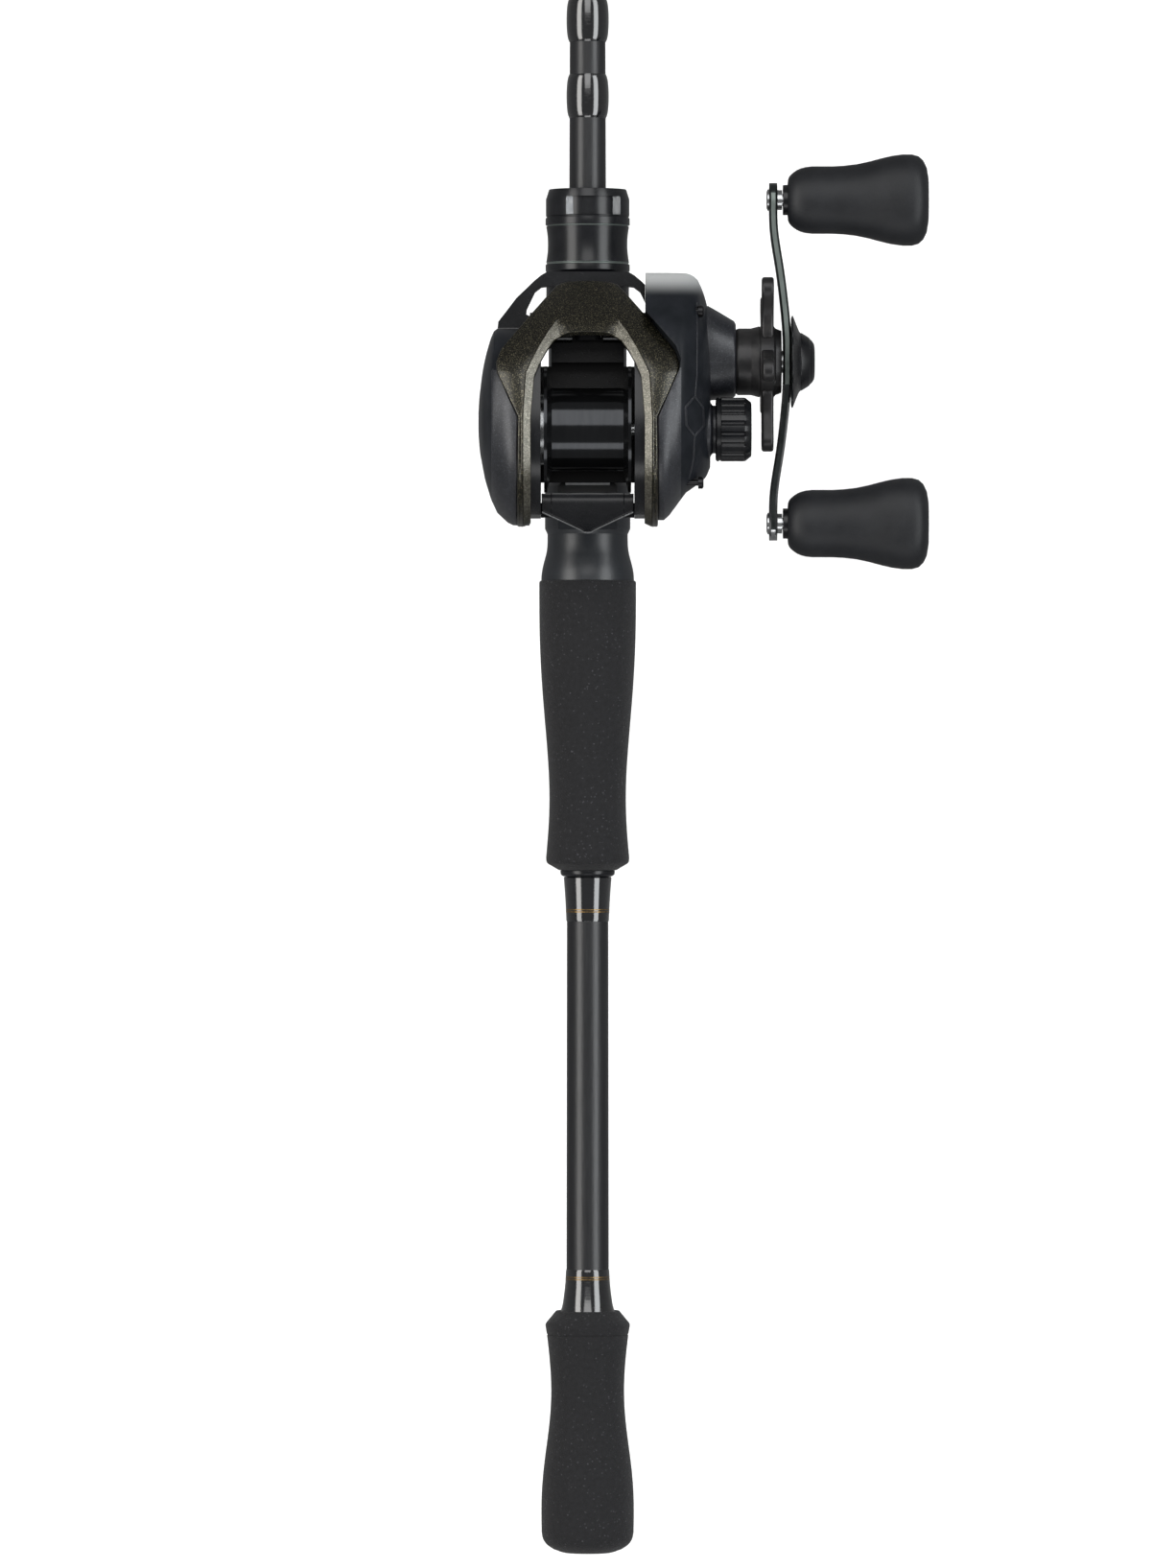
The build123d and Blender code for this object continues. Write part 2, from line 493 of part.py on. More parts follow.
GEAR_SIDE = [(346.4, 24.0), (342.0, 34.8), (333.0, 43.4), (320.0, 49.4), (306.0, 51.2), (292.5, 48.6),
             (283.0, 41.2), (279.6, 31.0), (282.6, 19.5), (291.0, 10.3), (304.0, 4.0), (320.0, 1.7),
             (335.0, 4.6), (343.6, 12.6)]
GEAR_PLAN = [(15.6, 276.0), (15.6, 347.0), (18.0, 347.0), (27.0, 347.0), (29.7, 344.6), (32.0, 338.7), (33.0, 332.0),
             (33.0, 294.0), (30.7, 290.0), (26.4, 287.0), (20.5, 279.0), (19.0, 276.0)]
GEAR_FRONT = [(15.6, 1.0), (26.5, 1.0), (31.0, 4.5), (33.0, 10.0), (33.0, 34.0), (31.0, 42.0), (25.0, 50.0),
              (19.0, 52.0), (15.6, 52.0)]
CASE_RADIUS, PINION_CASE = 18.8, 11.5
BULKHEAD = 15.6, 17.2
CLUTCH_RADIUS = 7.0
SCREWS = [(298.0, 11.0), (289.5, 36.0), (335.5, 36.8)]
YOKE_ANGLE = 66.6
with BuildPart() as gear_plate:
    side_slab(15.6, 33.0, rounded_side(GEAR_SIDE))
    extrude(plan_view(GEAR_PLAN), amount=70.0, mode=Mode.INTERSECT)
    extrude(front_view(GEAR_FRONT), amount=90.0, mode=Mode.INTERSECT)
    turned(MAIN, [(30.0, 0), (30.0, 10.4), (33.5, 9.6), (39.4, 8.6), (39.9, 8.1), (39.9, 0)])
    tube(SPOOL, 30.0, 38.5, 6.5)
    side_slab(15.0, BULKHEAD[1] + GLUE, rounded_side(GEAR_SIDE, 1.6), Mode.SUBTRACT)
    tube(MAIN, 17.0, 28.0, CASE_RADIUS, mode=Mode.SUBTRACT)
    tube(SPOOL, 17.0, 29.5, PINION_CASE, mode=Mode.SUBTRACT)
    tube(MAIN, 27.0, 37.5, CLUTCH_RADIUS + GLUE, mode=Mode.SUBTRACT)
    tube(MAIN, 37.0, 41.0, 3.0 + FIT, mode=Mode.SUBTRACT)
    tube(SPOOL, 29.0, 39.0, 2.4, mode=Mode.SUBTRACT)
    for y, z in SCREWS:
        screw = Plane(origin=(0, y, z), x_dir=(1, 0, 0), z_dir=(0, 0, 1))
        tube(screw, 29.6, 36.0, 1.75, mode=Mode.SUBTRACT)
        tube(screw, 22.9, 30.0, 0.8 + GLUE, mode=Mode.SUBTRACT)
    add(cover_space(0.05), mode=Mode.SUBTRACT)
    for way in (-1, 1):
        along = radians(YOKE_ANGLE)
        post = Plane(origin=(0, SPOOL_Y + way * 8 * cos(along), SPOOL_Z + way * 8 * sin(along)),
                     x_dir=(1, 0, 0), z_dir=(0, 0, 1))
        tube(post, 23.0, 30.5, 1.0)
save(gear_plate, "gear_plate")

with BuildPart() as gear_plate_screws:
    for y, z in SCREWS:
        screw = Plane(origin=(0, y, z), x_dir=(1, 0, 0), z_dir=(0, 0, 1))
        turned(screw, [(23.1, 0), (23.1, 0.8), (29.65, 0.8), (29.65, 1.6), (30.8, 1.6), (31.1, 1.2), (31.1, 0.55),
                       (30.5, 0.55), (30.5, 0)])
save(gear_plate_screws, "gear_plate_screws")

with BuildPart() as gear_bulkhead:
    side_slab(BULKHEAD[0], BULKHEAD[1], rounded_side(GEAR_SIDE, 1.65))
    add(cover_space(0.05), mode=Mode.SUBTRACT)
    tube(SPOOL, 15.0, 18.0, SHAFT_RADIUS + 0.8, mode=Mode.SUBTRACT)
    tube(MAIN, 15.0, 18.0, 2.0 + FIT, mode=Mode.SUBTRACT)
    tube(WORM, 15.0, 18.0, SHAFT_RADIUS + 0.4, mode=Mode.SUBTRACT)
save(gear_bulkhead, "gear_bulkhead")

# ======== Spool and brakes ========

with BuildPart() as spool:
    half = [(4.0, SHAFT_RADIUS + GLUE), (4.0, 3.0), (0.8, 3.5), (0.8, 10.2), (10.6, 10.2), (SPOOL_HALF, 16.3),
            (SPOOL_HALF, SPOOL_RADIUS), (10.9, SPOOL_RADIUS), (9.6, 11.2)]
    turned(SPOOL, half + [(-x, r) for x, r in reversed(half)])
save(spool, "spool")

with BuildPart() as spool_shaft:
    turned(SPOOL, [(-21.5, 0), (-21.5, 1.2), (-21.2, SHAFT_RADIUS), (16.9, SHAFT_RADIUS), (16.9, 1.2), (35.4, 1.2),
                   (35.8, 0.8), (35.8, 0)])
    strut((17.8, SPOOL_Y, SPOOL_Z - 2.4), (17.8, SPOOL_Y, SPOOL_Z + 2.4), 0.4)
save(spool_shaft, "spool_shaft")

COLLAR_X = -12.4
with BuildPart() as brake_collar:
    turned(SPOOL, [(-14.0, SHAFT_RADIUS + GLUE), (-14.0, 3.0), (-13.6, 3.5), (-10.2, 3.5), (-10.2, SHAFT_RADIUS + GLUE)])
    for turn in range(4):
        angle = radians(45 + 90 * turn)
        strut((COLLAR_X, SPOOL_Y + 2.9 * cos(angle), SPOOL_Z + 2.9 * sin(angle)),
              (COLLAR_X, SPOOL_Y + 7.6 * cos(angle), SPOOL_Z + 7.6 * sin(angle)), 0.5)
save(brake_collar, "brake_collar")

with BuildPart() as brake_weights:
    for turn in range(4):
        angle = radians(45 + 90 * turn)
        out = (0, cos(angle), sin(angle))
        sleeve = Plane(origin=(COLLAR_X, SPOOL_Y, SPOOL_Z), x_dir=out, z_dir=(1, 0, 0))
        tube(sleeve, 4.6, 7.2, 1.2, 0.5 + GLUE)
save(brake_weights, "brake_weights")

with BuildPart() as spool_bearing:
    tube(SPOOL, 12.9, 15.3, 5.2 - GLUE, SHAFT_RADIUS + FIT)
save(spool_bearing, "spool_bearing")

# ======== Gears and drag ========


def gear(plane_axis, start, width, teeth, pitch_radius, bore, tooth_angle):
    """A spur gear with involute flanks and one tooth centred on a given angle (from +Y toward +Z)."""
    module = 2 * pitch_radius / teeth
    base = pitch_radius * cos(PRESSURE)
    root, tip = pitch_radius - 1.1 * module, pitch_radius + 0.85 * module

    def half_angle(radius):
        slope = acos(min(1.0, base / radius))
        return pi / 2 / teeth - 0.02 / pitch_radius + tan(PRESSURE) - PRESSURE - tan(slope) + slope

    flank = [(radius, half_angle(max(radius, base))) for radius in (root, pitch_radius, tip)]
    with BuildSketch(Plane(origin=(start, *plane_axis), x_dir=(0, 1, 0), z_dir=(1, 0, 0))) as face:
        with BuildLine():
            rim = []
            for tooth in range(teeth):
                centre = tooth_angle + 2 * pi * tooth / teeth
                for radius, half in flank:
                    rim.append((radius * cos(centre - half), radius * sin(centre - half)))
                for radius, half in reversed(flank):
                    rim.append((radius * cos(centre + half), radius * sin(centre + half)))
            Polyline(*rim, close=True)
        make_face()
        Circle(bore, mode=Mode.SUBTRACT)
    extrude(face.sketch, amount=width)


def centres(first, second):
    """Distance and direction between two parallel axes."""
    gap = Vector(second[0] - first[0], second[1] - first[1], 0)
    return gap.length, radians(gap.get_signed_angle(Vector(1, 0, 0), Vector(0, 0, -1)))


DRIVE_GAP, DRIVE_WAY = centres((MAIN_Y, MAIN_Z), (SPOOL_Y, SPOOL_Z))
WORM_GAP, WORM_WAY = centres((MAIN_Y, MAIN_Z), (WORM_Y, WORM_Z))
PINION_PITCH = DRIVE_GAP * PINION_TEETH / (DRIVE_TEETH + PINION_TEETH)
WORM_PITCH = WORM_GAP * WORM_TEETH / (IDLER_TEETH + WORM_TEETH)

with BuildPart() as drive_gear:
    gear((MAIN_Y, MAIN_Z), 21.0, 2.5, DRIVE_TEETH, DRIVE_GAP - PINION_PITCH, 3.0 + GLUE, DRIVE_WAY)
save(drive_gear, "drive_gear")

with BuildPart() as pinion_gear:
    gear((SPOOL_Y, SPOOL_Z), 20.8, 3.4, PINION_TEETH, PINION_PITCH, 1.2 + FIT,
         DRIVE_WAY + pi + pi / PINION_TEETH)
    pinion_bore = 1.2 + FIT
    turned(SPOOL, [(18.4, pinion_bore), (18.4, 1.9), (20.8, 1.9), (20.8, pinion_bore)])
    turned(SPOOL, [(24.2, pinion_bore), (24.2, 3.4), (25.0, 3.4), (25.0, 2.3), (26.2, 2.3), (26.2, 3.4),
                   (27.0, 3.4), (27.0, pinion_bore)])
save(pinion_gear, "pinion_gear")

with BuildPart() as idler_gear:
    gear((MAIN_Y, MAIN_Z), 18.2, 1.8, IDLER_TEETH, WORM_GAP - WORM_PITCH, 3.0 + GLUE, WORM_WAY)
save(idler_gear, "idler_gear")

with BuildPart() as worm_gear:
    gear((WORM_Y, WORM_Z), 18.2, 1.8, WORM_TEETH, WORM_PITCH, SHAFT_RADIUS + GLUE,
         WORM_WAY + pi + pi / WORM_TEETH)
save(worm_gear, "worm_gear")

with BuildPart() as drag_washers:
    drag_bore = 3.0 + GLUE
    for start, end, radius in ((23.55, 24.2, 13.2), (24.25, 25.2, 13.4), (25.25, 25.9, 13.2), (25.95, 27.2, 12.6)):
        tube(MAIN, start, end, radius, drag_bore)
save(drag_washers, "drag_washers")

with BuildPart() as drive_shaft:
    turned(MAIN, [(15.8, 0), (15.8, 2.0), (17.4, 2.0), (17.4, 3.0), (27.4, 3.0), (27.4, 4.0), (36.9, 4.0),
                  (36.9, 3.0), (57.7, 3.0), (58.0, 2.7), (58.0, 0)])
save(drive_shaft, "drive_shaft")

with BuildPart() as roller_clutch:
    tube(MAIN, 28.6, 36.6, CLUTCH_RADIUS, 4.0 + FIT)
save(roller_clutch, "roller_clutch")

with BuildPart() as clutch_yoke:
    with BuildSketch(Plane(origin=(25.1, SPOOL_Y, SPOOL_Z), x_dir=(0, 1, 0), z_dir=(1, 0, 0))) as fork:
        with Locations(Location((0, 0, 0), YOKE_ANGLE)):
            SlotOverall(20.4, 4.4)
            Circle(4.6)
            with Locations((0, -5.0)):
                Rectangle(5.0, 10.0, mode=Mode.SUBTRACT)
            Circle(2.5, mode=Mode.SUBTRACT)
            for side in (-8, 8):
                with Locations((side, 0)):
                    Circle(1.0 + FIT, mode=Mode.SUBTRACT)
    extrude(fork.sketch, amount=1.0)
save(clutch_yoke, "clutch_yoke")

# ======== Crank ========


def bar_view(half_length, half_width, hub_width):
    """The crank arm seen along its axis: a long bar, widest at the hub, with round ends."""
    with BuildSketch(Plane(origin=(40, MAIN_Y, MAIN_Z), x_dir=(0, 1, 0), z_dir=(1, 0, 0))) as view:
        with BuildLine():
            side = [(HANDLE_RADIUS, half_width), (22.0, half_width + 0.2), (0, hub_width)]
            top = side + [(-y, z) for y, z in reversed(side[:-1])]
            Spline(*top, tangents=((-1, 0), (-1, 0)))
            ThreePointArc(top[-1], (-half_length, 0), (-HANDLE_RADIUS, -half_width))
            Spline(*[(-y, -z) for y, z in top], tangents=((1, 0), (1, 0)))
            ThreePointArc((HANDLE_RADIUS, -half_width), (half_length, 0), top[0])
        make_face()
    return view.sketch


with BuildPart() as handle_arm:
    centreline = [(ARM_END_X, 49.0), (ARM_END_X, 43.6), (50.15, 36.0), (51.5, 26.5), (53.1, 14.0), (ARM_HUB_X, 6.0)]
    with BuildSketch(Plane(origin=(0, MAIN_Y, MAIN_Z - 7), x_dir=(1, 0, 0), z_dir=(0, 0, 1))) as swept:
        with BuildLine():
            for face in (ARM_THICKNESS / 2, -ARM_THICKNESS / 2):
                upper = [(x + face, y) for x, y in centreline]
                lower = [(x + face, -y) for x, y in reversed(centreline)]
                Spline(*upper, tangents=((0, -1), (0, -1)))
                Line(upper[-1], lower[0])
                Spline(*lower, tangents=((0, -1), (0, -1)))
            for y in (49.0, -49.0):
                Line((ARM_END_X + ARM_THICKNESS / 2, y), (ARM_END_X - ARM_THICKNESS / 2, y))
        make_face()
    extrude(swept.sketch, amount=14.0)
    extrude(bar_view(HANDLE_RADIUS + 4.6, 4.6, 6.2), amount=20.0, mode=Mode.INTERSECT)
    tube(MAIN, 50.0, 56.0, 3.0 + GLUE, mode=Mode.SUBTRACT)
    for side in (-1, 1):
        pin = Plane(origin=(0, MAIN_Y + side * HANDLE_RADIUS, MAIN_Z), x_dir=(1, 0, 0), z_dir=(0, 0, 1))
        tube(pin, 45.0, 55.0, 2.0 + GLUE, mode=Mode.SUBTRACT)
save(handle_arm, "handle_arm")

with BuildPart() as knob_posts:
    for side in (-1, 1):
        pin = Plane(origin=(0, MAIN_Y + side * HANDLE_RADIUS, MAIN_Z), x_dir=(1, 0, 0), z_dir=(0, 0, 1))
        turned(pin, [(48.2, 0), (48.2, 2.2), (48.5, 2.9), (48.85, 2.9), (48.85, 2.0), (51.15, 2.0), (51.15, 2.7),
                     (52.4, 2.7), (52.4, POST_RADIUS), (88.0, POST_RADIUS), (88.0, 0)])
save(knob_posts, "knob_posts")

KNOB_SECTIONS = [(0.0, 5.6, 5.2), (1.5, 8.2, 7.2), (4.0, 9.1, 7.8), (10.0, 9.1, 7.6), (18.0, 9.6, 7.6),
                 (25.0, 11.2, 8.4), (31.0, 12.3, 9.2), (35.0, 12.0, 9.0), (37.3, 9.6, 7.2), (38.0, 6.5, 5.0)]
for name, side in (("knob_a", 1), ("knob_b", -1)):
    y = MAIN_Y + side * HANDLE_RADIUS
    with BuildPart() as knob:
        for along, across, tall in KNOB_SECTIONS:
            with BuildSketch(Plane(origin=(KNOB_START + along, y, MAIN_Z), x_dir=(0, 1, 0), z_dir=(1, 0, 0))):
                Ellipse(across, tall)
        loft()
        pin = Plane(origin=(0, y, MAIN_Z), x_dir=(1, 0, 0), z_dir=(0, 0, 1))
        tube(pin, 52.6, KNOB_START + 1.0, 4.1)
        tube(pin, 52.0, 88.6, POST_RADIUS + FIT, mode=Mode.SUBTRACT)
    save(knob, name)

with BuildPart() as handle_nut:
    with BuildSketch(Plane(origin=(54.86, MAIN_Y, MAIN_Z), x_dir=(0, 1, 0), z_dir=(1, 0, 0))) as hexagon:
        RegularPolygon(5.0, 6)
        Circle(3.0 + GLUE, mode=Mode.SUBTRACT)
    extrude(hexagon.sketch, amount=2.7)
save(handle_nut, "handle_nut")

with BuildPart() as nut_retainer:
    turned(MAIN, [(54.86, 5.3), (54.86, 12.0), (55.4, 12.6), (56.6, 12.6), (57.2, 12.0), (57.3, 7.6), (60.0, 7.3),
                  (60.1, 5.8), (61.0, 5.6), (61.2, 5.2), (61.2, 0), (58.4, 0), (58.4, 5.3)])
save(nut_retainer, "nut_retainer")

with BuildPart() as star_drag:
    star_bore = 3.0 + FIT
    turned(MAIN, [(40.2, star_bore), (40.2, 8.4), (41.0, 8.9), (46.6, 8.9), (47.0, 9.7), (50.1, 9.7), (50.6, 9.0),
                  (52.2, 8.4), (52.2, star_bore)])
    with BuildSketch(Plane(origin=(46.7, MAIN_Y, MAIN_Z), x_dir=(0, 1, 0), z_dir=(1, 0, 0))) as star:
        with PolarLocations(0, STAR_ARMS, start_angle=STAR_ANGLE):
            with Locations((9.0, 0)):
                Polygon((0, -4.2), (6.5, -2.6), (12.0, -3.4), (15.3, -2.6), (15.3, 2.6), (12.0, 3.4), (6.5, 2.6),
                        (0, 4.2), align=None)
        Circle(9.6)
        Circle(star_bore, mode=Mode.SUBTRACT)
    extrude(star.sketch, amount=3.4)
save(star_drag, "star_drag")

with BuildPart() as cast_control_knob:
    turned(SPOOL, [(34.4, 6.5 + FIT), (34.4, 8.2), (34.8, 8.6), (42.6, 8.6), (44.0, 7.2), (44.0, 0), (39.4, 0),
                   (39.4, 6.5 + FIT)])
    with BuildSketch(Plane(origin=(34.0, SPOOL_Y, SPOOL_Z), x_dir=(0, 1, 0), z_dir=(1, 0, 0))) as flutes:
        with PolarLocations(9.3, 18):
            Circle(0.95)
    extrude(flutes.sketch, amount=8.6, mode=Mode.SUBTRACT)
save(cast_control_knob, "cast_control_knob")

# ======== Thumb bar and level wind ========

THUMB_SIDE = [(276.2, 27.0), (275.9, 29.6), (279.0, 33.6), (283.5, 37.2), (286.4, 38.4), (287.6, 38.0), (287.6, 27.0)]
THUMB_PLAN = [(11.9, 288.0), (11.9, 281.0), (8.0, 278.0), (1.2, 275.8)]
with BuildPart() as thumb_bar:
    with BuildSketch(SIDE) as outline:
        with BuildLine():
            Polyline(*THUMB_SIDE, close=True)
        make_face()
    side_slab(-12.0, 12.0, outline.sketch)
    extrude(plan_view(both_sides(THUMB_PLAN)), amount=60.0, mode=Mode.INTERSECT)
    for rise in (0.0, 4.0):
        higher = Plane(origin=(0, SPOOL_Y, SPOOL_Z + rise), x_dir=(1, 0, 0), z_dir=(0, 0, 1))
        tube(higher, -13.0, 13.0, SPOOL_RADIUS + 0.8, mode=Mode.SUBTRACT)
    block((10.0, 15.3), (283.2, 286.0), (28.4, 31.4))
save(thumb_bar, "thumb_bar")

with BuildPart() as worm_shaft:
    turned(WORM, [(-15.4, 0), (-15.4, SHAFT_RADIUS), (-12.4, SHAFT_RADIUS), (-12.4, 2.3), (12.4, 2.3),
                  (12.4, SHAFT_RADIUS), (20.3, SHAFT_RADIUS), (20.3, 0)])
save(worm_shaft, "worm_shaft")

RAIL = Plane(origin=(0, 333.6, 18.6), x_dir=(1, 0, 0), z_dir=(0, 0, 1))
with BuildPart() as guide_rail:
    tube(RAIL, -12.57, 12.57, 0.8)
save(guide_rail, "guide_rail")

with BuildPart() as line_guide:
    block((-4.2, 4.2), (325.4, 335.2), (14.1, 21.4))
    block((-3.6, 3.6), (328.0, 331.6), (21.0, 32.4))
    fillet(line_guide.edges().filter_by(Axis.Y).filter_by_position(Axis.Z, 32.0, 33.0), 2.0)
    with BuildSketch(Plane(origin=(0, 333, 27.2), x_dir=(1, 0, 0), z_dir=(0, -1, 0))) as eye:
        SlotOverall(8.2, 4.8, rotation=90)
    extrude(eye.sketch, amount=8.0, mode=Mode.SUBTRACT)
    tube(WORM, -6.0, 6.0, 2.3 + FIT, mode=Mode.SUBTRACT)
    tube(RAIL, -6.0, 6.0, 0.8 + FIT, mode=Mode.SUBTRACT)
save(line_guide, "line_guide")

with BuildPart() as line_guide_insert:
    with BuildSketch(Plane(origin=(0, 331.6, 27.2), x_dir=(1, 0, 0), z_dir=(0, -1, 0))) as ring:
        SlotOverall(8.14, 4.74, rotation=90)
        SlotOverall(6.2, 2.8, rotation=90, mode=Mode.SUBTRACT)
    extrude(ring.sketch, amount=3.6)
save(line_guide_insert, "line_guide_insert")
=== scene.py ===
"""Casting rod with a low-profile baitcasting reel: detailed pieces, materials, floor, lights and camera.

Lengths are in millimetres, in the CAD model's frame: +Y along the rod to its tip, +Z the reel's side and +X
the crank's side. The scales of the materials and the places of the lights are in metres.
"""
import json
import math

import bmesh
import bpy
import numpy as np
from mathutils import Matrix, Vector


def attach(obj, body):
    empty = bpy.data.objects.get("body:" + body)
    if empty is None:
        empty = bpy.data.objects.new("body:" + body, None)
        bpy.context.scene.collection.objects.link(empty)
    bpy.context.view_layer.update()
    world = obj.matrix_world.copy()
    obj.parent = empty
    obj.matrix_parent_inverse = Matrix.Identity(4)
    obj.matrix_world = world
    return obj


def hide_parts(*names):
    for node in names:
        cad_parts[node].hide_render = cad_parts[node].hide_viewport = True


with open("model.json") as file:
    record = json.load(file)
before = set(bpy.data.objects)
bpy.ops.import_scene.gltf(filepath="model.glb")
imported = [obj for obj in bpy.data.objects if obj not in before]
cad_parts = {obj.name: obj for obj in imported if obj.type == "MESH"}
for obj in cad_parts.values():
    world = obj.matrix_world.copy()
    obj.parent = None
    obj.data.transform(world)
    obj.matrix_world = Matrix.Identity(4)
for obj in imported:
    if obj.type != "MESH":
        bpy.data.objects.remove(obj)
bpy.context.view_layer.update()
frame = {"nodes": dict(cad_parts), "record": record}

MM = 0.001
BODY = {node: body for body, nodes in frame["record"]["behaviour"]["bodies"].items() for node in nodes}
SLOT = {part["node"]: part["material_slot"] for part in frame["record"]["subparts"]}

# ---- Shared axes and sizes ----
# The spool and the crank turn about axes that run along X through these points.
SPOOL = (0.0, 304.0, 30.0)
MAIN = (0.0, 322.5, 22.0)
TO_CRANK = (1, 0, 0)
ROD_LENGTH = 2032.0
HANDLE_RADIUS = 43.6
# Distance from the butt and radius of the blank; then Y and Z along the reel's roof, from nose to tail.
BLANK_TAPER = [(2.0, 5.85), (171.0, 5.62), (264.0, 5.35), (373.0, 4.98), (421.0, 4.82), (2027.0, 0.95)]
ROOF = [(344.0, 28.0), (337.0, 36.5), (327.0, 45.0), (315.0, 50.6), (304.0, 52.2), (292.0, 50.0),
        (283.5, 43.5), (279.0, 35.0)]

# Edges sharper than this many degrees stay crisp, and corners flatter than this angle aren't rounded.
CREASE = 32.0
NEARLY_STRAIGHT = math.radians(165)
# Smallest length that counts, in millimetres, and how near vertices are merged, in metres.
TINY, MERGE = 1e-6, 1e-6


# ======== Curves ========


def cubic(points, closed=False, count=200):
    """Evenly spaced points on a smooth cubic spline through the given ones."""
    p = np.array(points, float)
    if closed:
        p = np.vstack([p, p[:1]])
    t = np.concatenate([[0.0], np.cumsum(np.linalg.norm(np.diff(p, axis=0), axis=1))])
    n, h = len(p), np.diff(t)
    matrix, right = np.zeros((n, n)), np.zeros_like(p)
    for i in range(1, n - 1):
        matrix[i, i - 1:i + 2] = h[i - 1], 2 * (h[i - 1] + h[i]), h[i]
        right[i] = 6 * ((p[i + 1] - p[i]) / h[i] - (p[i] - p[i - 1]) / h[i - 1])
    if closed:
        matrix[0, 0], matrix[0, -1] = 1, -1
        matrix[-1, 0], matrix[-1, 1] = 2 * h[0], h[0]
        matrix[-1, -2], matrix[-1, -1] = h[-1], 2 * h[-1]
        right[-1] = 6 * ((p[1] - p[0]) / h[0] - (p[-1] - p[-2]) / h[-1])
    else:
        matrix[0, 0] = matrix[-1, -1] = 1
    bend = np.linalg.solve(matrix, right)
    samples_per_point = 24
    fine = np.linspace(0, t[-1], samples_per_point * n)
    where = np.clip(np.searchsorted(t, fine, side="right") - 1, 0, n - 2)
    a, b = (t[where + 1] - fine)[:, None], (fine - t[where])[:, None]
    step = h[where][:, None]
    dense = (bend[where] * a ** 3 + bend[where + 1] * b ** 3) / (6 * step)
    dense += ((p[where] / step - bend[where] * step / 6) * a
              + (p[where + 1] / step - bend[where + 1] * step / 6) * b)
    along = np.concatenate([[0.0], np.cumsum(np.linalg.norm(np.diff(dense, axis=0), axis=1))])
    even = np.linspace(0, along[-1], count + 1 if closed else count)
    even = even[:-1] if closed else even
    return np.stack([np.interp(even, along, dense[:, k]) for k in range(p.shape[1])], axis=1)


def rounded(profile, radius, steps=4):
    """Rounds the corners of an open profile of (distance, radius) points and gives its points as Vectors."""
    points = [Vector(p) for p in profile]
    out = [points[0]]
    for before, here, after in zip(points, points[1:], points[2:]):
        into, leave = before - here, after - here
        reach = min(radius, into.length * 0.45, leave.length * 0.45)
        turn = into.angle(leave, math.pi) if into.length > TINY and leave.length > TINY else math.pi
        if turn > NEARLY_STRAIGHT or reach < 1e-4:
            out.append(here)
            continue
        start, end = here + into.normalized() * reach, here + leave.normalized() * reach
        for step in range(steps + 1):
            s = step / steps
            out.append(start * (1 - s) ** 2 + here * 2 * s * (1 - s) + end * s ** 2)
    return out + [points[-1]]


# ======== Meshes ========


def placed(name, mesh):
    """An object in the scene for a mesh."""
    piece = bpy.data.objects.new(name, mesh)
    bpy.context.scene.collection.objects.link(piece)
    return piece


def build(name, verts, faces, sharp=CREASE):
    """A mesh object from millimetre coordinates, smooth with its creases kept."""
    mesh = bpy.data.meshes.new(name)
    mesh.from_pydata([tuple(c * MM for c in v) for v in verts], [], faces)
    shape = bmesh.new()
    shape.from_mesh(mesh)
    bmesh.ops.remove_doubles(shape, verts=shape.verts, dist=MERGE)
    bmesh.ops.recalc_face_normals(shape, faces=shape.faces)
    shape.to_mesh(mesh)
    shape.free()
    smooth(mesh, sharp)
    return placed(name, mesh)


def smooth(mesh, sharp):
    """Shades a mesh smooth, with edges sharper than an angle kept crisp."""
    mesh.shade_smooth()
    mesh.set_sharp_from_angle(angle=math.radians(sharp))


def skin(rings, caps=True):
    """Vertices and faces through closed rings of equal length; caps close both ends with one face each."""
    size = len(rings[0])
    verts = [tuple(p) for ring in rings for p in ring]
    faces = []
    for row in range(len(rings) - 1):
        for k in range(size):
            a, b = row * size + k, row * size + (k + 1) % size
            faces.append((a, b, b + size, a + size))
    if caps:
        faces.append(tuple(range(size))[::-1])
        faces.append(tuple((len(rings) - 1) * size + k for k in range(size)))
    return verts, faces


def basis(direction):
    """A direction's unit vector and two unit vectors across it."""
    along = Vector(direction).normalized()
    across = Vector((0, 0, 1)) if abs(along.z) < 0.9 else Vector((0, 1, 0))
    side = along.cross(across).normalized()
    return along, side, side.cross(along).normalized()


def turned(name, profile, origin=(0, 0, 0), direction=(0, 1, 0), segments=96, swell=None, sharp=CREASE):
    """Turns a profile of (distance, radius) about an axis. Where the profile starts or ends off the axis, a
    flat face closes it, unless its two ends are equal and both given as tuples or both as Vectors.
    swell(angle, distance, radius) reshapes the radius."""
    along, side, up = basis(direction)
    start = Vector(origin)
    rings = []
    for distance, radius in profile:
        ring = []
        for k in range(segments):
            angle = 2 * math.pi * k / segments
            r = swell(angle, distance, radius) if swell else radius
            ring.append(start + along * distance + (side * math.cos(angle) + up * math.sin(angle)) * r)
        rings.append(ring)
    verts, faces = skin(rings, caps=False)
    if profile[0] != profile[-1]:
        for row in (0, len(rings) - 1):
            if profile[row][1] > TINY:
                faces.append(tuple(row * segments + k for k in range(segments)))
    return build(name, verts, faces, sharp)


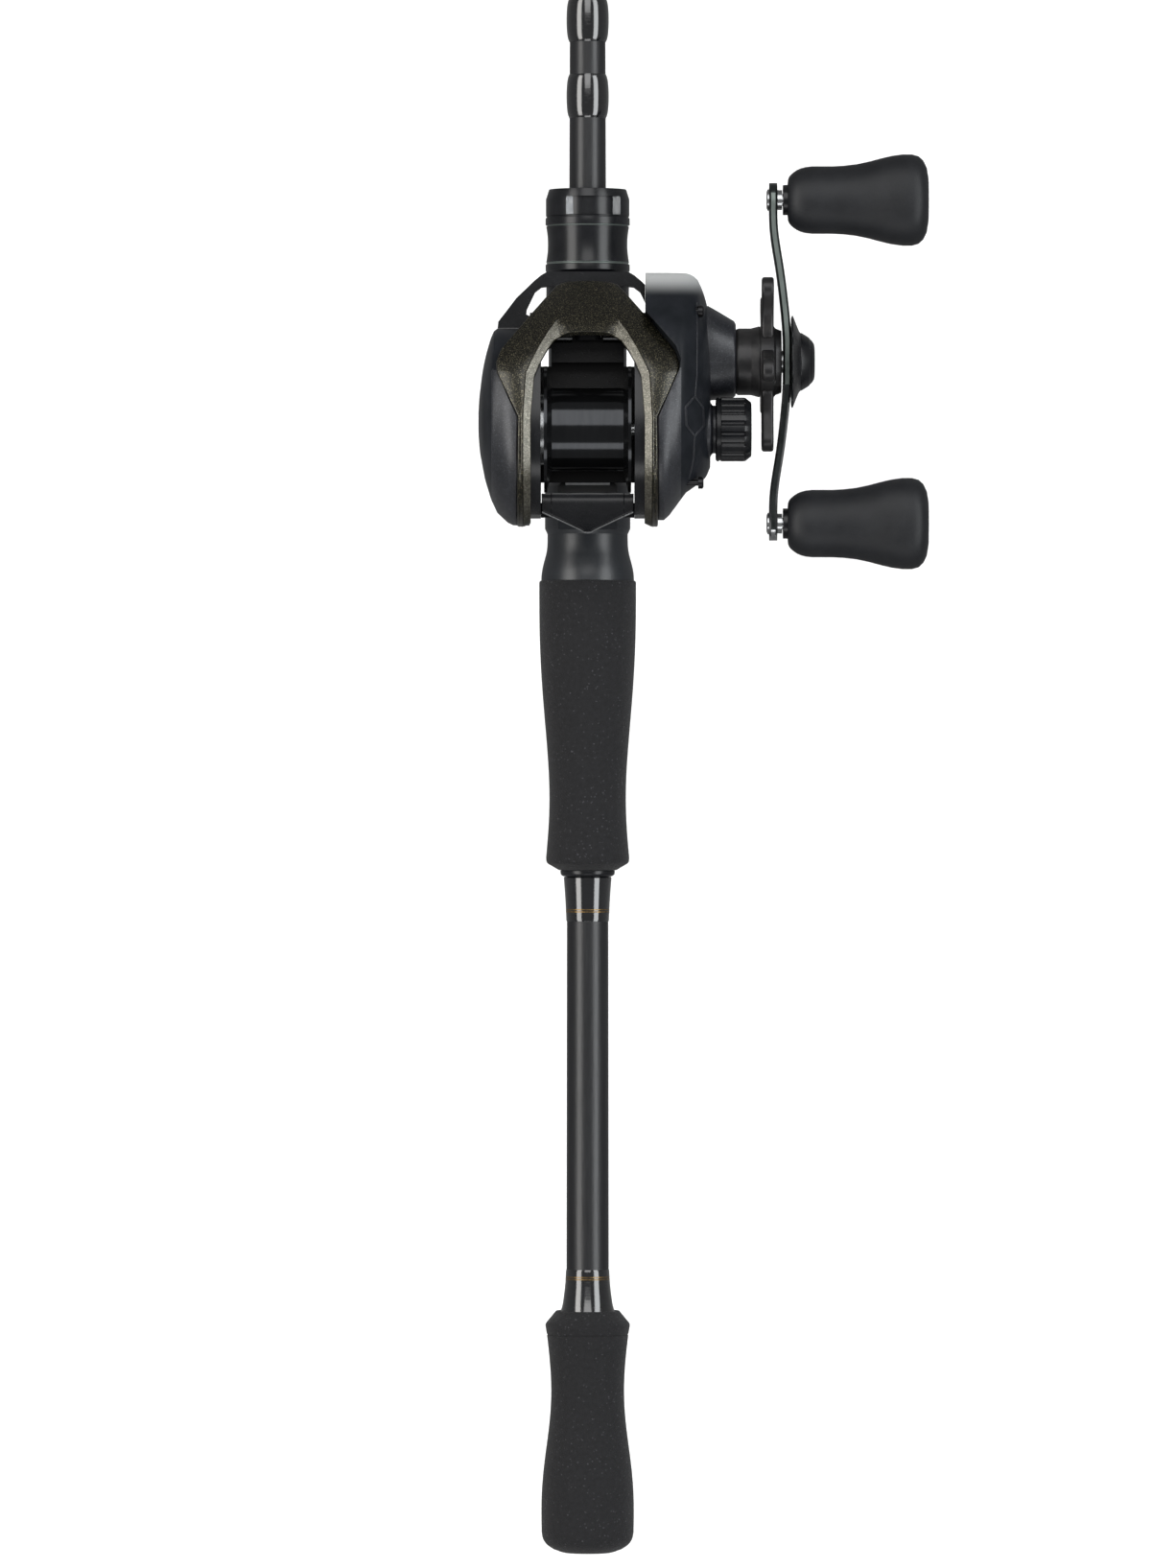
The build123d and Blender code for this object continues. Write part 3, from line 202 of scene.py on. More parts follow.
def slab(name, outline, low, high, axis, bevel=0.0):
    """A flat plate: an outline of two coordinates run along the third axis, with its edges rounded."""
    place = {
        "x": lambda u, v, w: (w, u, v),
        "y": lambda u, v, w: (u, w, v),
        "z": lambda u, v, w: (u, v, w),
    }[axis]
    shape = bmesh.new()
    corners = [shape.verts.new(Vector(place(u, v, low)) * MM) for u, v in outline]
    rim = [shape.edges.new(pair) for pair in zip(corners, corners[1:] + corners[:1])]
    bmesh.ops.triangle_fill(shape, edges=rim, use_beauty=True)
    bmesh.ops.dissolve_limit(shape, angle_limit=0.01, verts=shape.verts, edges=shape.edges)
    lifted = bmesh.ops.extrude_face_region(shape, geom=shape.faces[:])
    top = [v for v in lifted["geom"] if isinstance(v, bmesh.types.BMVert)]
    bmesh.ops.translate(shape, vec=Vector(place(0, 0, (high - low) * MM)), verts=top)
    bmesh.ops.recalc_face_normals(shape, faces=shape.faces)
    mesh = bpy.data.meshes.new(name)
    shape.to_mesh(mesh)
    shape.free()
    smooth(mesh, CREASE)
    piece = placed(name, mesh)
    if bevel:
        soften(piece, bevel)
    return piece


def soften(piece, width, segments=3, angle=CREASE):
    """Rounds a piece's sharp edges with a modifier."""
    modifier = piece.modifiers.new("edges", "BEVEL")
    modifier.width = width * MM
    modifier.segments = segments
    modifier.limit_method = "ANGLE"
    modifier.angle_limit = math.radians(angle)
    modifier.use_clamp_overlap = True
    modifier.harden_normals = False


def applied(piece):
    """Bakes a piece's modifiers into its mesh."""
    graph = bpy.context.evaluated_depsgraph_get()
    mesh = bpy.data.meshes.new_from_object(piece.evaluated_get(graph))
    piece.modifiers.clear()
    piece.data = mesh


def combine(piece, other, operation="DIFFERENCE", sharp=CREASE):
    """Cuts, joins or crosses a piece with another, which is used up."""
    modifier = piece.modifiers.new("cut", "BOOLEAN")
    modifier.operation = operation
    modifier.solver = "EXACT"
    modifier.object = other
    applied(piece)
    bpy.data.objects.remove(other)
    smooth(piece.data, sharp)
    return piece


def join(name, pieces):
    """Puts several pieces into one object, each with its own material."""
    shape = bmesh.new()
    materials = []
    for piece in pieces:
        if piece.modifiers:
            applied(piece)
        mesh = piece.data
        first = len(materials)
        materials += list(mesh.materials) or [None]
        for face in mesh.polygons:
            face.material_index += first
        mesh.transform(piece.matrix_world)
        shape.from_mesh(mesh)
    mesh = bpy.data.meshes.new(name)
    shape.to_mesh(mesh)
    shape.free()
    for one in materials:
        mesh.materials.append(one)
    for piece in pieces:
        bpy.data.objects.remove(piece)
    smooth(mesh, CREASE)
    return placed(name, mesh)


def painted(piece, surfaces, choose=None):
    """Gives a piece its materials. choose(x, y, z, normal) numbers the material of the face centred there."""
    for surface in surfaces:
        piece.data.materials.append(surface)
    if choose:
        for face in piece.data.polygons:
            face.material_index = choose(*(face.center / MM), face.normal)
    return piece


def finished(piece, surface, node):
    """Gives a piece its material, unless it has its own, and puts it in the place of a CAD node."""
    if surface:
        piece.data.materials.clear()
        piece.data.materials.append(surface)
    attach(piece, BODY[node])
    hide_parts(node)
    return piece


# ======== Materials ========
# Sockets of a mix node that blends colours.
MIX_SHARE, MIX_UNDER, MIX_OVER, MIX_RESULT = 0, 6, 7, 2


def material(name, dark, light, roughness, spread=0.05, metallic=0.0, coat=0.0, coat_roughness=0.08,
             sheen=0.0, grain=(900.0, 0.00001), mottle=60.0, stretch=(1, 1, 1), specular=0.5, flake=None,
             highlight_fade=None):
    """A procedural surface. Colour runs from dark to light with a soft mottle, and roughness goes a spread to
    either side of its middle. grain is (noise scale per metre, bump height in metres). flake is (cells per
    metre, colour, share of cells that shine). highlight_fade is a painted highlight that blends in along Y:
    (Y where it starts, Y where it ends, colour)."""
    surface = bpy.data.materials.new(name)
    surface.use_nodes = True
    tree = surface.node_tree
    nodes, links = tree.nodes, tree.links
    shader = nodes["Principled BSDF"]
    shader.inputs["Metallic"].default_value = metallic
    shader.inputs["Coat Weight"].default_value = coat
    shader.inputs["Coat Roughness"].default_value = coat_roughness
    shader.inputs["Specular IOR Level"].default_value = specular
    shader.inputs["Sheen Weight"].default_value = sheen
    shader.inputs["Sheen Roughness"].default_value = 0.5
    place = nodes.new("ShaderNodeTexCoord")
    mapping = nodes.new("ShaderNodeMapping")
    mapping.inputs["Scale"].default_value = stretch
    links.new(place.outputs["Object"], mapping.inputs["Vector"])

    def noise(scale, detail=4.0):
        node = nodes.new("ShaderNodeTexNoise")
        node.inputs["Scale"].default_value = scale
        node.inputs["Detail"].default_value = detail
        links.new(mapping.outputs["Vector"], node.inputs["Vector"])
        return node.outputs["Fac"]

    def laid_over(under, over, share):
        node = nodes.new("ShaderNodeMix")
        node.data_type = "RGBA"
        links.new(share, node.inputs[MIX_SHARE])
        links.new(under, node.inputs[MIX_UNDER])
        node.inputs[MIX_OVER].default_value = (*over, 1)
        return node.outputs[MIX_RESULT]

    ramp = nodes.new("ShaderNodeValToRGB")
    ramp.color_ramp.elements[0].position = 0.3
    ramp.color_ramp.elements[1].position = 0.72
    ramp.color_ramp.elements[0].color = (*dark, 1)
    ramp.color_ramp.elements[1].color = (*light, 1)
    links.new(noise(mottle), ramp.inputs["Fac"])
    colour = ramp.outputs["Color"]
    if flake:
        cells_per_metre, shine, share = flake
        cells = nodes.new("ShaderNodeTexVoronoi")
        cells.inputs["Scale"].default_value = cells_per_metre
        links.new(mapping.outputs["Vector"], cells.inputs["Vector"])
        split = nodes.new("ShaderNodeSeparateColor")
        links.new(cells.outputs["Color"], split.inputs["Color"])
        pick = nodes.new("ShaderNodeMapRange")
        pick.inputs["From Min"].default_value = 1 - share
        pick.inputs["From Max"].default_value = 1.0
        links.new(split.outputs["Red"], pick.inputs["Value"])
        colour = laid_over(colour, shine, pick.outputs["Result"])
    # Painted highlight: the colour blends towards a lighter one along Y.
    if highlight_fade:
        start, end, highlight_colour = highlight_fade
        axes = nodes.new("ShaderNodeSeparateXYZ")
        links.new(place.outputs["Object"], axes.inputs["Vector"])
        along = nodes.new("ShaderNodeMapRange")
        along.interpolation_type = "SMOOTHSTEP"
        along.inputs["From Min"].default_value = start
        along.inputs["From Max"].default_value = end
        links.new(axes.outputs["Y"], along.inputs["Value"])
        colour = laid_over(colour, highlight_colour, along.outputs["Result"])
    links.new(colour, shader.inputs["Base Color"])
    rough = nodes.new("ShaderNodeMapRange")
    rough.inputs["To Min"].default_value = max(0.02, roughness - spread)
    rough.inputs["To Max"].default_value = min(1.0, roughness + spread)
    links.new(noise(mottle * 4), rough.inputs["Value"])
    links.new(rough.outputs["Result"], shader.inputs["Roughness"])
    grain_scale, grain_height = grain
    bump = nodes.new("ShaderNodeBump")
    bump.inputs["Strength"].default_value = 1.0
    bump.inputs["Distance"].default_value = grain_height
    links.new(noise(grain_scale, 6.0), bump.inputs["Height"])
    links.new(bump.outputs["Normal"], shader.inputs["Normal"])
    return surface


FOAM = material("foam", (0.00714, 0.00714, 0.00803), (0.0113, 0.0113, 0.0127), 0.86, 0.07, sheen=0.06,
                specular=0.3, grain=(2600.0, 0.00022), mottle=900.0,
                flake=(3000.0, (0.045, 0.045, 0.05), 0.03))
CARBON = material("sanded_carbon", (0.0048, 0.0051, 0.0063), (0.009, 0.0096, 0.0111), 0.36, 0.07, coat=0.1,
                  coat_roughness=0.3, grain=(2200.0, 0.00003), mottle=500.0, stretch=(1, 0.08, 1))
EPOXY = material("wrap_resin", (0.0018, 0.0021, 0.0027), (0.0042, 0.0048, 0.006), 0.05, 0.02, coat=1.0,
                 specular=0.8, coat_roughness=0.03, grain=(2600.0, 0.00002), mottle=400.0,
                 stretch=(0.1, 3, 0.1))
GOLD_THREAD = material("gold_thread", (0.10, 0.06, 0.02), (0.32, 0.20, 0.07), 0.35, 0.1, metallic=0.9,
                       grain=(3000.0, 0.00002), mottle=1500.0)
NYLON = material("moulded_nylon", (0.004, 0.0045, 0.0055), (0.008, 0.0085, 0.0105), 0.25, 0.03,
                 specular=0.4, grain=(1400.0, 0.000004), mottle=220.0)
BRONZE = material("bronze_flake_paint", (0.00741, 0.00682, 0.00356), (0.0104, 0.0095, 0.00515), 0.30, 0.03,
                  metallic=0.75, coat=0.5, coat_roughness=0.22, grain=(3000.0, 0.000006), mottle=900.0,
                  flake=(8500.0, (0.26, 0.235, 0.15), 0.14))
# A lighter copy of the bronze paint: a painted highlight for the cover's inner facets.
BRONZE_FACET_HIGHLIGHT = material("bronze_facet_highlight", (0.0542, 0.0506, 0.0379), (0.0944, 0.0884, 0.0687), 0.38, 0.05,
                        metallic=0.75, coat=0.5, coat_roughness=0.25, grain=(3000.0, 0.00001), mottle=900.0,
                        flake=(9000.0, (0.5, 0.48, 0.40), 0.12))
GRAPHITE = material("graphite_paint", (0.0122, 0.0134, 0.0165), (0.0195, 0.0208, 0.0251), 0.38, 0.05,
                    metallic=0.2, coat=0.15, coat_roughness=0.28, grain=(2600.0, 0.00001), mottle=160.0,
                    flake=(9000.0, (0.09, 0.095, 0.11), 0.12))
# A darker copy of the graphite paint: painted shade for the plates' outer sides and fronts.
shadowed = dict(dark=(0.007, 0.0085, 0.0105), light=(0.013, 0.0145, 0.018), roughness=0.34, spread=0.04,
                specular=0.12, grain=(2600.0, 0.00001), mottle=160.0)
GRAPHITE_SHADE = material("graphite_shadow", **shadowed)
# The gear plate's nose: the same painted shade, with a painted highlight fading in towards its front edge.
GRAPHITE_SHADE_NOSE_HIGHLIGHT = material("graphite_shadow_nose_highlight", **shadowed, highlight_fade=(0.3395, 0.3458, (0.42, 0.43, 0.43)))
BLACK = material("black_satin_paint", (0.0035, 0.0038, 0.0048), (0.007, 0.0075, 0.009), 0.26, 0.04,
                 specular=0.38, grain=(2200.0, 0.000004), mottle=180.0)
SPOOL_ALLOY = material("black_anodised", (0.030, 0.0315, 0.034), (0.036, 0.0375, 0.040), 0.12, 0.02,
                       metallic=0.9, grain=(2600.0, 0.000006), mottle=120.0, stretch=(8, 1, 1))
DARK_ALLOY = material("dark_anodised", (0.024, 0.028, 0.0284), (0.04, 0.0452, 0.0452), 0.30, 0.06,
                      metallic=0.85, grain=(2400.0, 0.00001), mottle=240.0)
# A lighter satin metal colour used as painted highlights: the crank arm's front flat and the nut's grooves.
SATIN_HIGHLIGHT = material("satin_highlight", (0.11, 0.13, 0.122), (0.15, 0.172, 0.162), 0.38, 0.05, metallic=0.6,
                     grain=(2400.0, 0.000006), mottle=240.0, stretch=(8, 1, 8))
SEAT = material("seat_moulding", (0.0085, 0.0105, 0.0135), (0.012, 0.0145, 0.018), 0.36, 0.03, specular=0.6,
                grain=(1500.0, 0.000006), mottle=200.0)
STAR_ALLOY = material("star_anodised", (0.02, 0.02, 0.0215), (0.0372, 0.0357, 0.0357), 0.36, 0.08,
                      metallic=0.6, grain=(2400.0, 0.00001), mottle=240.0)
RUBBER = material("soft_touch_rubber", (0.00701, 0.00765, 0.00926), (0.0115, 0.0124, 0.0144), 0.48, 0.06,
                  specular=0.3, grain=(1800.0, 0.00003), mottle=140.0)
# Bare steel for the steel parts; also used as painted glints on the nut, the crank arm and the thumb bar.
STEEL_AND_GLINT = material("bare_steel_and_glint", (0.38, 0.39, 0.40), (0.55, 0.56, 0.57), 0.24, 0.08, metallic=1.0,
                 grain=(1600.0, 0.00001), mottle=300.0, stretch=(4, 1, 1))
BRASS = material("machined_brass", (0.42, 0.29, 0.10), (0.62, 0.46, 0.19), 0.28, 0.08, metallic=1.0,
                 grain=(1600.0, 0.00001), mottle=300.0)
FIBRE = material("fibre", (0.012, 0.012, 0.012), (0.035, 0.035, 0.035), 0.75, 0.1, grain=(1500.0, 0.00005),
                 mottle=800.0)
WHITE = material("white_acetal", (0.55, 0.55, 0.53), (0.68, 0.68, 0.66), 0.45, 0.06, grain=(1500.0, 0.00002),
                 mottle=200.0)
CERAMIC = material("ring_ceramic", (0.008, 0.008, 0.009), (0.016, 0.016, 0.018), 0.10, 0.03, coat=0.6,
                   coat_roughness=0.04, grain=(900.0, 0.000004), mottle=120.0)
PLATED = material("black_plated_steel", (0.012, 0.012, 0.013), (0.028, 0.028, 0.030), 0.28, 0.07,
                  metallic=0.8, grain=(1800.0, 0.00001), mottle=260.0)
SURFACE_OF = {
    "carbon_blank": CARBON, "foam": FOAM, "foam_trim": FOAM, "seat_black": NYLON, "thread_coat": EPOXY,
    "dark_alloy": DARK_ALLOY, "guide_frame": PLATED, "guide_ring": CERAMIC, "bronze_paint": BRONZE,
    "graphite_shell": GRAPHITE, "black_shell": BLACK, "spool_alloy": SPOOL_ALLOY, "steel": STEEL_AND_GLINT,
    "brass_gear": BRASS, "drag_fibre": FIBRE, "white_plastic": WHITE, "knob_rubber": RUBBER,
}
SURFACE_OF_NODE = {"gear_plate_screws": PLATED, "reel_seat": SEAT}
for node_name, node in frame["nodes"].items():
    node.data.materials.clear()
    node.data.materials.append(SURFACE_OF_NODE.get(node_name, SURFACE_OF[SLOT[node_name]]))
    smooth(node.data, 24.0)

# ======== Rod ========


def blank_radius(y):
    """The blank's radius at a distance from the butt."""
    return float(np.interp(y, *zip(*BLANK_TAPER)))


blank_profile = [(2.0, 0.0), (2.0, 5.85)]
for station in (20, 90, 171, 220, 264, 320, 373, 421, 700, 1100, 1500, 1900):
    blank_profile.append((station, blank_radius(station)))
blank_profile += [(2026.7, 0.95), (2027.0, 0.6), (2027.0, 0.0)]
finished(turned("blank", blank_profile, segments=128), CARBON, "rod_blank")

butt_line = cubic([(5.5, 12.5), (15.5, 12.5), (25, 11.7), (33.5, 10.6), (42, 9.95), (50, 10.15),
                   (59.0, 11.05)], count=70)
butt_profile = [(0.0, 0.0)] + rounded([(0.0, 6.4), (0.25, 7.4), (1.0, 9.4), (2.2, 11.2), (3.7, 12.2),
                                       (5.5, 12.5)], 0.8)
butt_profile += [tuple(p) for p in butt_line[1:]] + [(59.2, 10.9), (59.2, 5.95)]
butt = finished(turned("butt_foam", butt_profile, segments=160), FOAM, "butt_grip")
ring_profile = [(59.22, 5.95)] + rounded([(59.22, 10.85), (59.5, 11.12), (62.1, 11.55), (65.8, 8.5),
                                          (65.3, 8.2), (64.6, 7.65)], 0.5) + [(64.6, 5.95)]
finished(turned("butt_trim", ring_profile, segments=160), FOAM, "butt_grip_ring")
rear_line = cubic([(187.8, 11.4), (197, 10.65), (204.5, 10.4), (222.5, 11.35), (235.6, 12.4), (250, 13.05),
                   (263.4, 13.15)], count=80)
rear_profile = [(185.3, 7.53)] + rounded([(185.3, 7.8), (187.3, 11.2), tuple(rear_line[1])], 0.7)
rear_profile += [tuple(p) for p in rear_line[2:]] + [(263.8, 12.95), (263.9, 12.7), (263.9, 7.53)]
rear = finished(turned("rear_foam", rear_profile, segments=160), FOAM, "rear_grip")
check_profile = rounded([(183.6, 5.7), (183.6, 6.6), (184.1, 7.3), (185.25, 7.45), (185.25, 5.7)], 0.25)
finished(turned("rear_trim", check_profile), NYLON, "rear_check")


def winding(ends, curve, bands=()):
    """A clear-coated thread winding: a smooth outer line between the points at its two ends, with thin rings
    of gold thread that shine through at some places."""
    profile = [*ends[0], *[tuple(p) for p in curve], *ends[1]]
    parts = [painted(turned("winding", profile), [EPOXY])]
    line = np.array(profile)
    for y in bands:
        radius = float(np.interp(y, line[:, 0], line[:, 1])) + 0.015
        edge = [(y - 0.16, radius - 0.1), (y - 0.12, radius), (y + 0.12, radius), (y + 0.16, radius - 0.1)]
        parts.append(painted(turned("band", edge), [GOLD_THREAD]))
    return parts


windings = winding(([(64.6, 5.9), (64.6, 7.5)], [(76.9, 5.8)]), cubic(
    [(64.9, 7.62), (66.5, 7.05), (69.5, 6.5), (73.0, 6.1), (76.5, 5.93)], count=24), (74.3, 74.9))
windings += winding(([(171.4, 5.7)], [(183.55, 6.3), (183.55, 5.7)]), cubic(
    [(171.7, 5.8), (175.0, 5.95), (180.0, 6.25), (183.2, 6.5)], count=24), (174.0, 174.6))
FRONT_WINDING_LENGTH = 11.9
for near in (389.5, 410.2):
    bulge = cubic([(near, 4.98), (near + 0.5, 5.2), (near + 2.6, 5.62), (near + 5.95, 5.76),
                   (near + 9.3, 5.62), (near + 11.4, 5.2), (near + FRONT_WINDING_LENGTH, 4.98)], count=40)
    windings += winding(([(near, 4.9)], [(near + FRONT_WINDING_LENGTH, 4.9)]), bulge)

# Distance from the tip and height of each guide. The first stands on two feet.
GUIDES = [(1240.0, 13.0), (992.0, 10.0), (784.0, 8.2), (606.0, 7.0), (452.0, 6.4), (318.0, 5.9), (200.0, 5.4),
          (95.0, 5.2)]
FOOT_RISE, FOOT_RAMP = 1.0, 2.2


def foot_swell(low, high):
    """How a guide's winding from low to high rises over the foot under it, on the +Z side."""
    def swell(angle, distance, radius):
        inside = min(distance - low, high - distance) / FOOT_RAMP
        ramp = max(0.0, min(1.0, inside)) ** 0.7
        return radius + FOOT_RISE * max(0.0, math.cos(angle - math.pi / 2)) ** 6 * ramp
    return swell


for index, (from_tip, height) in enumerate(GUIDES):
    y = ROD_LENGTH - from_tip
    feet = [(y + 0.8 * height, 1)] + ([(y - 0.8 * height, -1)] if index == 0 else [])
    for near, way in feet:
        low, high = sorted((near + way * 2.0, near + way * 13.5))
        base = blank_radius((low + high) / 2)
        shape = cubic([(low, base + 0.02), (low + 0.8, base + 0.16), (low + 3, base + 0.28),
                       (high - 3, base + 0.28), (high - 0.8, base + 0.16), (high, base + 0.02)], count=22)
        one = turned("guide_winding", [tuple(p) for p in shape], segments=72, swell=foot_swell(low, high))
        windings.append(painted(one, [EPOXY]))
finished(join("thread_windings", windings), None, "thread_wraps")

# ======== Reel seat and lock nut ========

NUT_RADIUS, NUT_BORE, NUT_START = 11.35, 9.46, 347.3
nut_profile = rounded([(NUT_START, NUT_BORE), (NUT_START, 10.8), (348.0, 11.45), (349.7, 11.45),
                       (349.8, 11.1), (350.1, 11.1), (350.2, 11.25)], 0.12)
nut_profile += [tuple(p) for p in cubic([(350.3, 11.26), (352.6, 10.93), (355.2, 10.8), (357.8, 10.93),
                                         (360.0, 11.26)], count=30)]
nut_profile += rounded([(360.05, 11.2), (360.1, 11.0), (360.35, 11.0), (360.4, 11.45), (362.35, 11.45),
                        (362.4, 11.1), (362.7, 11.1), (362.8, NUT_RADIUS), (364.5, NUT_RADIUS),
                        (367.4, NUT_RADIUS), (370.1, 10.5), (370.1, 6.4)], 0.1)
nut_profile += [(368.6, 6.4), (368.6, NUT_BORE), (NUT_START, NUT_BORE)]
nut = turned("hood_nut", nut_profile, segments=192, sharp=28)
RECESS_START, RECESS_END, RECESS_HALF, RECESS_DEPTH = 363.0, 367.9, math.radians(33), 1.25
for facing in (math.radians(10), math.radians(190)):
    ring = [(facing + s * RECESS_HALF, NUT_RADIUS - RECESS_DEPTH) for s in np.linspace(-1, 1, 25)]
    ring += [(facing + s * (RECESS_HALF + 0.22), 12.4) for s in np.linspace(1, -1, 25)]
    outline = [(r * math.sin(a), r * math.cos(a)) for a, r in ring]
    combine(nut, slab("recess", outline, RECESS_START, RECESS_END, "y"), sharp=28)
soften(nut, 0.1, 2, 35)


def nut_highlight_paint(x, y, z, normal):
    """Painted highlights: a bright steel colour on the recesses' ends and a satin metal colour in the two
    grooves; moulding elsewhere.
    """
    outward = (normal.x * x + normal.z * z) / math.hypot(x, z)
    in_recess = RECESS_START < y < RECESS_END and math.hypot(x, z) > 10.3
    if in_recess and abs(normal.y) < 0.3 and outward < 0.93:
        return 1
    return 2 if outward > 0 and (349.7 < y < 350.25 or 360.0 < y < 360.4) else 0


painted(nut, [NYLON, STEEL_AND_GLINT, SATIN_HIGHLIGHT], nut_highlight_paint)
finished(nut, None, "lock_nut")

# ======== Top cover ========


def softened(points, spacing=0.15, reach=1.2):
    """An open path of straight runs, resampled evenly with its corners rounded off."""
    p = np.array(points, float)
    along = np.concatenate([[0.0], np.cumsum(np.linalg.norm(np.diff(p, axis=0), axis=1))])
    even = np.linspace(0, along[-1], max(8, int(along[-1] / spacing)))
    path = np.stack([np.interp(even, along, p[:, k]) for k in range(p.shape[1])], axis=1)
    span = max(1, int(reach / spacing))
    padded = np.vstack([2 * path[0] - path[span:0:-1], path, 2 * path[-1] - path[-2:-span - 2:-1]])
    window = np.hanning(2 * span + 1)
    window /= window.sum()
    return np.stack([np.convolve(padded[:, k], window, "valid") for k in range(p.shape[1])], axis=1)


# Rows along one leg and half of the nose: X and Y of the outer edge, of the crease and of the inner edge, how
# deep the inner edge lies under the roof, how sharply the surface folds down to it, and how far the outer
# edge falls away.
COVER_ROWS = [
    (18.9, 277.75, 17.3, 277.75, 15.3, 277.75, 1.0, 1.0, 0.1),
    (18.8, 290.00, 17.3, 290.00, 15.2, 290.00, 1.0, 1.0, 0.1),
    (18.6, 306.70, 17.3, 306.70, 15.2, 306.70, 1.0, 1.0, 0.2),
    (24.3, 319.50, 16.6, 318.60, 14.3, 318.00, 1.1, 1.0, 1.5),
    (24.5, 322.40, 15.1, 321.90, 12.7, 322.00, 1.2, 1.0, 1.6),
    (23.2, 326.00, 13.2, 325.70, 11.0, 325.20, 1.2, 1.0, 1.5),
    (16.6, 333.90, 10.7, 330.00, 9.0, 328.20, 1.3, 1.0, 0.8),
    (10.1, 341.40, 8.4, 333.00, 7.4, 329.50, 1.7, 0.7, 0.4),
    (8.2, 343.40, 6.8, 334.10, 6.2, 329.95, 1.2, 0.3, 0.2),
    (5.8, 344.20, 4.8, 334.60, 4.6, 330.10, 0.6, 0.0, 0.1),
    (0.0, 344.35, 0.0, 334.90, 0.0, 330.15, 0.5, 0.0, 0.0),
]
COVER_THICKNESS, COVER_FOOT = 2.0, 27.2
TAIL_END_Y, LEG_START_Y, HIGHLIGHT_END_X = 277.75, 280.5, 7.4


def roof_path():
    """The roof line, its tail run down to the cover's foot, as (Y, Z) points, and the unit tangents there."""
    tail = cubic(ROOF + [(277.95, 31.0), (277.72, COVER_FOOT)], count=260)
    slope = np.gradient(tail, axis=0)
    return tail, slope / np.linalg.norm(slope, axis=1)[:, None]


ROOF_TAIL, ROOF_SLOPE = roof_path()
TAIL_ORDER = np.argsort(ROOF_TAIL[:, 0])


def roof_point(x, y, depth=0.0):
    """A point over (x, y) on the cover's outer surface, set in along the surface's normal."""
    keys = ROOF_TAIL[TAIL_ORDER, 0]
    z, ty, tz = (float(np.interp(y, keys, column[TAIL_ORDER])) for column in
                 (ROOF_TAIL[:, 1], ROOF_SLOPE[:, 0], ROOF_SLOPE[:, 1]))
    return (x, y - tz * depth, z + ty * depth)


def cover_section(row):
    """One cross-section of the cover: over the outer edge's chamfer, the crown, the crease and the inner
    facet, then back along the underside."""
    ax, ay, cx, cy, dx, dy, drop, fold, fall = row
    outer, crease, inner = np.array((ax, ay)), np.array((cx, cy)), np.array((dx, dy))
    across = crease - outer
    inward = across / np.linalg.norm(across)
    ring = [roof_point(*outer, max(COVER_THICKNESS, fall + 0.7)), roof_point(*outer, fall + 0.42)]
    ring += [roof_point(*(outer + inward * s), fall + d) for s, d in ((0.1, 0.2), (0.3, 0.05))]
    for s in np.linspace(0.0, 1.0, 12)[:-1]:
        here = outer + inward * 0.5 + (across - inward * 0.6) * s
        ring.append(roof_point(*here, fall * (1 - s) ** 2 + 0.12 * math.sin(math.pi * s)))
    ring += [roof_point(*(crease - inward * 0.12), 0.1), roof_point(*crease, 0.24 * fold)]
    facet = inner - crease
    ring.append(roof_point(*(crease + facet * 0.06), 0.12 * fold))
    for s in (0.1, 0.25, 0.42, 0.58, 0.75, 0.9):
        here = crease + facet * s
        ring.append(roof_point(*here, 0.06 + (drop - 0.06) * (fold * s + (1 - fold) * s ** 2.4)))
    toward = facet / max(np.linalg.norm(facet), TINY)
    ring += [roof_point(*(inner - toward * 0.08), drop - 0.06), roof_point(*inner, drop + 0.1)]
    ring += [roof_point(*inner, max(COVER_THICKNESS, drop + 0.5)), roof_point(*crease, COVER_THICKNESS + 0.1)]
    return ring


leg = softened(COVER_ROWS, spacing=0.35, reach=1.1)
tail_rows = [(18.9, y, 17.3, y, 15.3, y, 1.0, 1.0, 0.1)
             for y in np.linspace(TAIL_END_Y, LEG_START_Y, 14)[:-1]]
right_leg = tail_rows + [tuple(row) for row in leg if row[1] > LEG_START_Y]
right = [cover_section(row) for row in right_leg]
left = [[(-x, y, z) for x, y, z in ring] for ring in reversed(right[:-1])]
# The facet is eight strips wide and starts eleven points before a section's end. Along the legs its faces get
# a lighter bronze, a painted highlight where the side lights catch the facet.
section_size, last_row = len(right[0]), 2 * len(right) - 3
highlight_facets = set()
for row_number, row in enumerate(right_leg[:-1]):
    if row[4] > HIGHLIGHT_END_X:
        for column in range(section_size - 11, section_size - 3):
            highlight_facets |= {row_number * section_size + column, (last_row - row_number) * section_size + column}
cover = painted(build("cover", *skin(right + left), sharp=26), [BRONZE, BRONZE_FACET_HIGHLIGHT])
for index in highlight_facets:
    cover.data.polygons[index].material_index = 1
finished(cover, None, "top_cover")

# ======== Side plates ========


def limits(points, at):
    """Lowest and highest second coordinate of a closed outline where its first coordinate is a value."""
    found = []
    for (a, u), (b, v) in zip(points, points[1:] + points[:1]):
        if (a - at) * (b - at) <= 0 and a != b:
            found.append(u + (v - u) * (at - a) / (b - a))
    return min(found), max(found)


